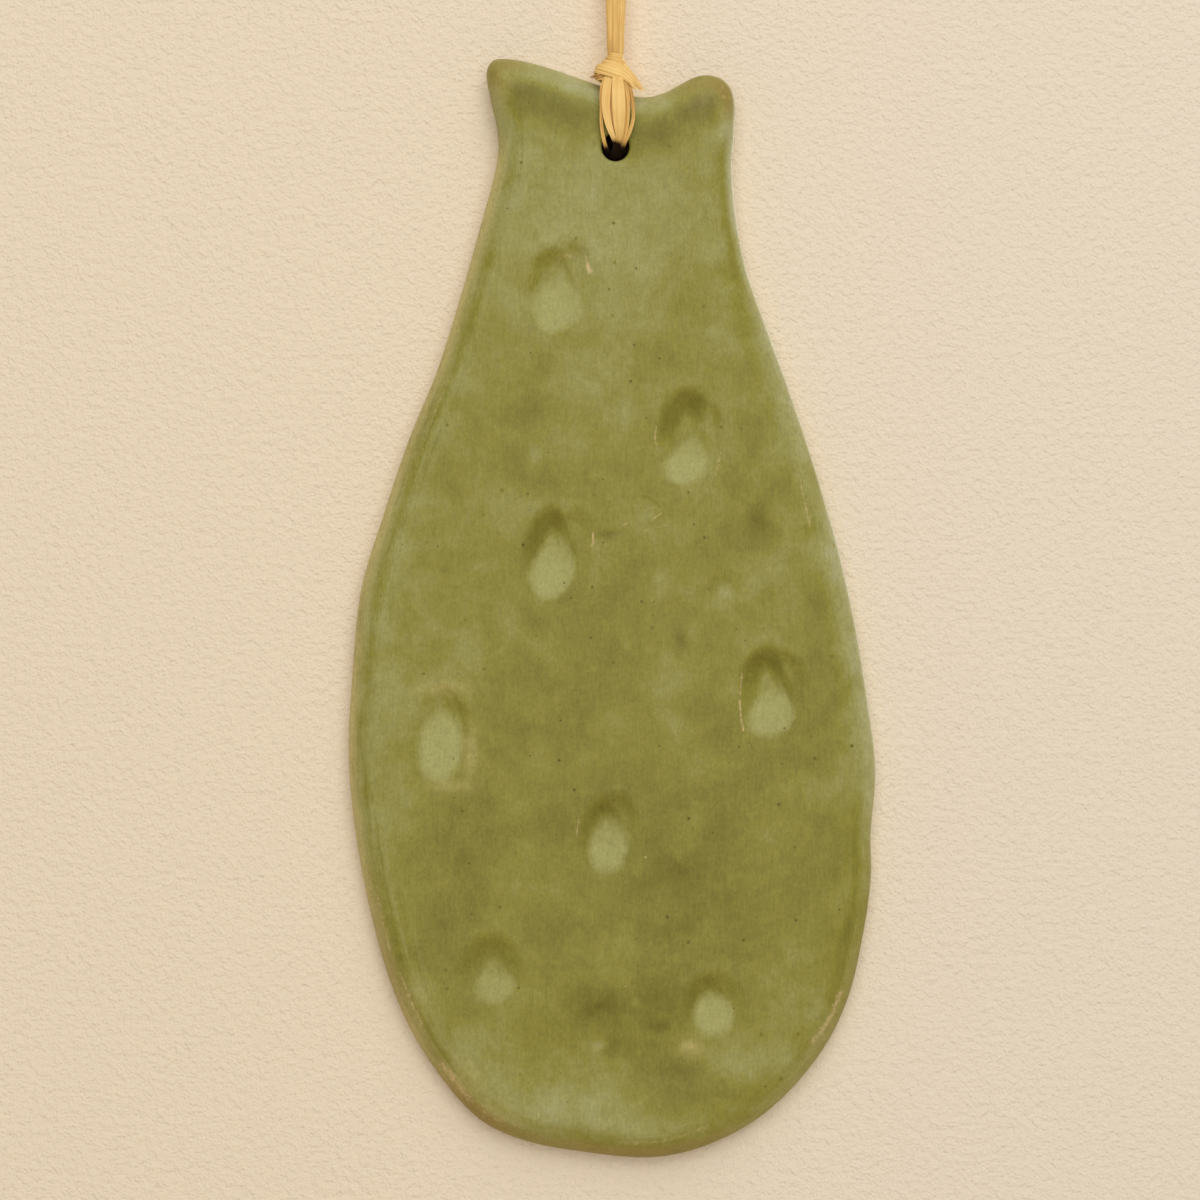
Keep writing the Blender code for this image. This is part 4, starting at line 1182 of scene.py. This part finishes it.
def raffia_tree(material):
    """Geometry nodes that sweep each line of a mesh into a pleated, fibrous ribbon.

    The lines carry half_width, facing, run, tone and strand on their points.
    """
    tree = bpy.data.node_groups.new("raffia_ribbons", "GeometryNodeTree")
    tree.is_modifier = True
    face = tree.interface
    face.new_socket("Geometry", in_out="INPUT", socket_type="NodeSocketGeometry")
    face.new_socket("Sides", in_out="INPUT", socket_type="NodeSocketInt")
    for name in ("Thickness", "Pleat Depth", "Pleats", "Fibre Relief", "Fibre Density"):
        face.new_socket(name, in_out="INPUT", socket_type="NodeSocketFloat")
    face.new_socket("Geometry", in_out="OUTPUT", socket_type="NodeSocketGeometry")
    given = put(tree, "NodeGroupInput").outputs

    def stored(name, kind="FLOAT"):
        return put(tree, "GeometryNodeInputNamedAttribute", {"Name": name}, data_type=kind).outputs[0]

    lines = put(tree, "GeometryNodeMeshToCurve", {0: given["Geometry"]}).outputs[0]
    turned = {"Curve": lines, "Normal": stored("facing", "FLOAT_VECTOR")}
    lines = put(tree, "GeometryNodeSetCurveNormal", turned, mode="FREE").outputs[0]

    circle = put(tree, "GeometryNodeCurvePrimitiveCircle", {"Resolution": given["Sides"], "Radius": 1.0})
    place = put(tree, "ShaderNodeSeparateXYZ", {0: put(tree, "GeometryNodeInputPosition").outputs[0]})
    across, up, _ = place.outputs
    turn = calc(tree, "MULTIPLY", across, calc(tree, "MULTIPLY", given["Pleats"], math.pi))
    lift = calc(tree, "MULTIPLY", calc(tree, "COSINE", turn), given["Pleat Depth"])
    lift = calc(tree, "MULTIPLY_ADD", up, given["Thickness"], lift)
    shaped = put(tree, "ShaderNodeCombineXYZ", {"X": calc(tree, "MULTIPLY", lift, -1.0), "Y": across})
    profile = put(tree, "GeometryNodeSetPosition", {0: circle.outputs[0], "Position": shaped.outputs[0]})
    profile = put(
        tree,
        "GeometryNodeStoreNamedAttribute",
        {0: profile.outputs[0], "Name": "across", "Value": across},
        data_type="FLOAT",
        domain="POINT",
    )
    sweep = {"Curve": lines, "Profile Curve": profile.outputs[0], "Scale": stored("half_width")}
    swept = put(tree, "GeometryNodeCurveToMesh", {**sweep, "Fill Caps": True})

    where = put(
        tree,
        "ShaderNodeCombineXYZ",
        {
            "X": calc(tree, "MULTIPLY", stored("across"), given["Fibre Density"]),
            "Y": calc(tree, "MULTIPLY", stored("run"), FIBRE_STRETCH),
            "Z": calc(tree, "MULTIPLY", stored("strand"), STRAND_SHIFT),
        },
    )
    fibres = noise(tree, where.outputs[0], 1.0, 3)
    height = calc(tree, "MULTIPLY", calc(tree, "SUBTRACT", fibres, 0.5), given["Fibre Relief"])
    outward = put(tree, "GeometryNodeInputNormal").outputs[0]
    push = put(tree, "ShaderNodeVectorMath", {0: outward, "Scale": height}, operation="SCALE")
    moved = put(tree, "GeometryNodeSetPosition", {0: swept.outputs[0], "Offset": push.outputs[0]})
    smooth = put(tree, "GeometryNodeSetShadeSmooth", {0: moved.outputs[0], "Shade Smooth": True})
    whole = put(tree, "GeometryNodeRealizeInstances", {0: smooth.outputs[0]})
    finished = put(tree, "GeometryNodeSetMaterial", {0: whole.outputs[0], "Material": material})
    put(tree, "NodeGroupOutput", {0: finished.outputs[0]})
    return tree


def bake(source, name):
    """The evaluated modifier stack of an object as a plain mesh object of its own."""
    evaluated = source.evaluated_get(bpy.context.evaluated_depsgraph_get())
    mesh = bpy.data.meshes.new_from_object(evaluated)
    mesh.name = name
    bpy.data.objects.remove(source, do_unlink=True)
    return shown(name, mesh)


def in_bore(line):
    """The painted shade of a strand near the hole's axis, from inside the mouth through to the pad's back."""
    from_axis = np.hypot(line[:, 0], line[:, 2] + HOLE_DROP)
    return step_up(line[:, 1], *HOLE_SHADE_DEPTH) * step_up(from_axis, *HOLE_SHADE_REACH)


def ribbons(name, strands, settings, material):
    """One piece of raffia from several strands: each a line, its half widths, facing and tone."""
    points, edges, facings = [], [], []
    facts = {"half_width": [], "run": [], "tone": [], "strand": [], "hole_shade": []}
    for number, strand in enumerate(strands):
        line = strand["line"]
        start, count = len(points), len(line)
        steps = np.linalg.norm(np.diff(line, axis=0), axis=1)
        points.extend(line)
        edges.extend((start + k, start + k + 1) for k in range(count - 1))
        facts["half_width"].extend(np.asarray(strand["widths"]) * MM)
        facts["run"].extend(np.concatenate([[0.0], np.cumsum(steps)]))
        facts["tone"].extend([strand["tone"]] * count)
        facts["strand"].extend([number] * count)
        facts["hole_shade"].extend(in_bore(line))
        facings.extend(strand["facing"])
    mesh = new_mesh(name, points, edges, [], facts)
    facing = mesh.attributes.new("facing", "FLOAT_VECTOR", "POINT")
    facing.data.foreach_set("vector", np.array(facings, dtype=float).ravel())
    source = shown(name, mesh)
    tree = raffia_tree(material)
    values = {
        "Sides": settings.sides, "Thickness": settings.thickness, "Pleat Depth": settings.pleat,
        "Pleats": PLEATS, "Fibre Relief": settings.fibre, "Fibre Density": FIBRE_DENSITY,
    }
    modifier = source.modifiers.new("sweep", "NODES")
    modifier.node_group = tree
    for socket in tree.interface.items_tree:
        if socket.name in values:
            modifier[socket.identifier] = values[socket.name]
    return bake(source, name)


def ribbon(route, tone):
    """A strand along a route from the hole. Its points are x, y, z, half width and, if it rolls, degrees."""
    even = through(route, ROUTE_STEP)
    line = even[:, :3] - np.array([0.0, 0.0, HOLE_DROP])
    run = unit(np.gradient(line, axis=0))
    out = np.cross([1.0, 0.0, 0.0], run)
    out = unit(out - (out * run).sum(axis=1, keepdims=True) * run)
    if even.shape[1] > 4:
        roll = np.radians(even[:, 4:])
        out = out * np.cos(roll) + np.cross(run, out) * np.sin(roll)
    return {"line": line, "widths": even[:, 3], "facing": out, "tone": tone}


def wrap(turns, rings, half_width, tilt, start, tone):
    """A ribbon wound about the knot, through rings of height, middle x, and half sizes in x and y."""
    steps = int(turns * 40)
    share = np.linspace(0, 1, steps)
    at_rings = np.linspace(0, 1, len(rings))
    height, middle, half_x, half_y = (np.interp(share, at_rings, column) for column in np.array(rings).T)
    angle = math.tau * (start + turns * share)
    x = middle + half_x * np.cos(angle)
    y = KNOT_Y + half_y * np.sin(angle)
    z = height - tilt * (x - middle)
    line = np.stack([x, y, z - HOLE_DROP], axis=1)
    facing = unit(np.stack([np.cos(angle) / half_x, np.sin(angle) / half_y, np.full(steps, 0.12)], axis=1))
    ends = np.clip(np.minimum(share, 1 - share) * steps / 3, 0.35, 1)
    return {"line": line, "widths": half_width * ends, "facing": facing, "tone": tone}


def hanger_line(offsets, widths):
    """One ply of the loop: up the left side, over the nail, down the right side."""
    crown = NAIL_RADIUS + STRAND_RADIUS
    side = [LOOP_FOOT, *LOOP_ROUTE]
    over = [
        (-crown * math.cos(angle), 0.0, crown * math.sin(angle) - NAIL_RADIUS)
        for angle in (math.pi * k / 8 for k in range(9))
    ]
    down = [(-x, y, z) for x, y, z in reversed(side)]
    line = through(side + over + down, ROUTE_STEP)
    share = np.linspace(0, 1, len(line))
    width = np.interp(share, np.linspace(0, 1, len(widths)), widths)
    over_nail = step_up(line[:, 2], *NAIL_TURN)[:, None]
    radial = line - np.array([0.0, 0.0, -NAIL_RADIUS])
    radial[:, 2] = np.maximum(radial[:, 2], 0)
    radial[:, 1] = 0
    facing = unit((1 - over_nail) * np.array([0.0, -1.0, 0.0]) + over_nail * unit(radial))
    run = unit(np.gradient(line, axis=0))
    at_offsets = np.linspace(0, 1, len(offsets))
    shift, lift = (np.interp(share, at_offsets, column)[:, None] for column in zip(*offsets))
    line = line + np.cross(run, facing) * shift + facing * lift
    return {"line": line, "widths": width, "facing": facing, "tone": 0.0}


class HANGING_OT_stage(bpy.types.Operator):
    """Hang a pale wall behind the pad, lay a floor below it, and set the light and the camera"""

    bl_idname = "hanging.stage"
    bl_label = "Wall, light and camera"

    def execute(self, context):
        settings = context.scene.hanging_stage
        scene = context.scene
        scene.view_settings.view_transform = "Standard"
        wall_y = (BACK_Y + WALL_GAP) * MM
        foot_z = CAD_BOX[0][2]
        lean = math.atan(FOOT_CLOSER * MM / -(foot_z + HOLE_DROP * MM))
        wall = flat_sheet("wall", (0, wall_y, -HOLE_DROP * MM), (math.radians(90) - lean, 0, 0))
        wall.data.materials.append(wall_material("wall_paint", settings.paint, True))
        floor = flat_sheet("floor", (0, wall_y - SHEET_SIZE / 2, foot_z - FLOOR_DROP), (0, 0, 0))
        floor.data.materials.append(wall_material("floor_paint", settings.paint, False))
        wall.visible_shadow = False  # the wall lets the back light through to the back of the pad

        camera = bpy.data.cameras.new("camera")
        camera.lens = settings.lens
        camera.sensor_width = SENSOR_WIDTH
        camera.clip_start = 0.01
        distance = settings.view_size * settings.lens / SENSOR_WIDTH
        eye = shown("camera", camera)
        eye.location = (settings.view_x, -distance, settings.view_z)
        eye.rotation_euler = (math.radians(90), 0, 0)
        scene.camera = eye

        for name, (offset, size, power) in LAMPS.items():
            soft_light(name, Vector((0, 0, settings.view_z)), offset, size, power, settings.light)
        world = bpy.data.worlds.new("room")
        world.use_nodes = True
        world.node_tree.nodes["Background"].inputs["Color"].default_value = (*settings.light, 1.0)
        world.node_tree.nodes["Background"].inputs["Strength"].default_value = ROOM_LIGHT
        scene.world = world
        return {"FINISHED"}


def flat_sheet(name, place, turn):
    """A square sheet, flat before it is turned."""
    mesh = bpy.data.meshes.new(name)
    half = SHEET_SIZE / 2
    corners = [(-half, -half, 0), (half, -half, 0), (half, half, 0), (-half, half, 0)]
    mesh.from_pydata(corners, [], [(0, 1, 2, 3)])
    sheet = shown(name, mesh)
    sheet.location = place
    sheet.rotation_euler = turn
    return sheet


def soft_light(name, target, offset, size, power, colour):
    """A round area lamp that looks at its target."""
    lamp = bpy.data.lights.new(name, "AREA")
    lamp.shape = "DISK"
    lamp.size = size
    lamp.energy = power
    lamp.color = colour
    made = shown(name, lamp)
    made.location = target + Vector(offset)
    made.rotation_euler = (target - made.location).to_track_quat("-Z", "Y").to_euler()


class HANGING_OT_pad(bpy.types.Operator):
    """Press the clay pad and glaze it"""

    bl_idname = "hanging.pad"
    bl_label = "Clay pad"

    def execute(self, context):
        pad = build_pad(context.scene.hanging_pad)
        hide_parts("pad")
        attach(pad, BODY)
        return {"FINISHED"}


class HANGING_OT_sling(bpy.types.Operator):
    """Lay the ribbons of raffia down the face, through the hole and up the back"""

    bl_idname = "hanging.sling"
    bl_label = "Sling"

    def execute(self, context):
        strands = [ribbon(route, tone) for tone, route in SLING]
        sling = ribbons("sling_ribbons", strands, context.scene.hanging_raffia, raffia_look(context))
        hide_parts("raffia_sling")
        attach(sling, BODY)
        return {"FINISHED"}


class HANGING_OT_knot(bpy.types.Operator):
    """Wind the knot about the strands, and leave its ends standing out"""

    bl_idname = "hanging.knot"
    bl_label = "Knot"

    def execute(self, context):
        strands = [
            wrap(turns, rings, half_width, tilt, start, tone)
            for turns, start, tilt, half_width, tone, rings in WRAPS
        ]
        strands += loose_fibres()
        strands.append(core_line())
        knot = ribbons("knot_wraps", strands, context.scene.hanging_raffia, raffia_look(context))
        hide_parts("raffia_knot")
        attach(knot, BODY)
        return {"FINISHED"}


class HANGING_OT_loop(bpy.types.Operator):
    """Carry the loop of raffia up from the knot, over the nail and back"""

    bl_idname = "hanging.loop"
    bl_label = "Loop"

    def execute(self, context):
        plies = [hanger_line(offsets, widths) for offsets, widths in PLIES]
        loop = ribbons("hanging_loop", plies, context.scene.hanging_raffia, raffia_look(context))
        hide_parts("raffia_hanger")
        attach(loop, BODY)
        path = hanger_line([(0.0, 0.0)] * 2, [1.0, 1.0])["line"] * MM
        return {"FINISHED"}


def raffia_look(context):
    """The raffia's material, made once."""
    made = bpy.data.materials.get("raffia_fibre")
    return made or raffia_material(context.scene.hanging_raffia)


def loose_fibres():
    """The fibres of the fans, evenly spread from side to side, with uneven lengths and a little waver."""
    fibres = []
    for count, half_width, tone, sides in FANS:
        for k in range(count):
            share = k / (count - 1)
            start, middle, end = (
                np.array(first) * (1 - share) + np.array(last) * share for first, last in sides
            )
            reach = 0.85 + 0.2 * math.sin(2.4 * k)
            waver = np.array([0.1 * math.sin(1.7 * k), 0.14 * math.sin(3.1 * k), 0.1 * math.sin(4.3 * k)])
            tip = middle + (end - middle) * reach + waver
            near_tip = middle + (tip - middle) * 0.7 + 0.5 * waver
            route = [
                (*start, half_width),
                (*middle, half_width),
                (*near_tip, 0.7 * half_width),
                (*tip, 0.3 * half_width),
            ]
            fibres.append(ribbon(route, tone + 0.15 * math.sin(1.3 * k)))
    return fibres


def core_line():
    """The gathered strands inside the knot, as one broad ribbon that is seen only between the turns."""
    return ribbon([(x, KNOT_Y, z, half_width) for z, x, half_width in CORE], -0.2)


class HANGING_PT_sidebar(bpy.types.Panel):
    """The pieces of the hanging, with their sizes and colours"""

    bl_idname = "HANGING_PT_sidebar"
    bl_label = "Wall hanging"
    bl_space_type = "VIEW_3D"
    bl_region_type = "UI"
    bl_category = "Hanging"

    def draw(self, context):
        for group, operators in SECTIONS.items():
            box = self.layout.box()
            for operator in operators:
                box.operator(operator.bl_idname)
            settings = getattr(context.scene, group)
            for name in GROUPS[group].__annotations__:
                box.prop(settings, name)


GROUPS = {"hanging_stage": StageSettings, "hanging_pad": PadSettings, "hanging_raffia": RaffiaSettings}
SECTIONS = {
    "hanging_stage": [HANGING_OT_stage],
    "hanging_pad": [HANGING_OT_pad],
    "hanging_raffia": [HANGING_OT_loop, HANGING_OT_sling, HANGING_OT_knot],
}
CLASSES = [*GROUPS.values(), *(each for section in SECTIONS.values() for each in section), HANGING_PT_sidebar]


def register():
    for cls in CLASSES:
        bpy.utils.register_class(cls)
    for name, group in GROUPS.items():
        setattr(bpy.types.Scene, name, PointerProperty(type=group))


def unregister():
    for name in GROUPS:
        delattr(bpy.types.Scene, name)
    for cls in reversed(CLASSES):
        bpy.utils.unregister_class(cls)


def main():
    register()
    bpy.ops.hanging.stage()
    bpy.ops.hanging.loop()
    bpy.ops.hanging.pad()
    bpy.ops.hanging.sling()
    bpy.ops.hanging.knot()


if __name__ == "__main__":
    main()
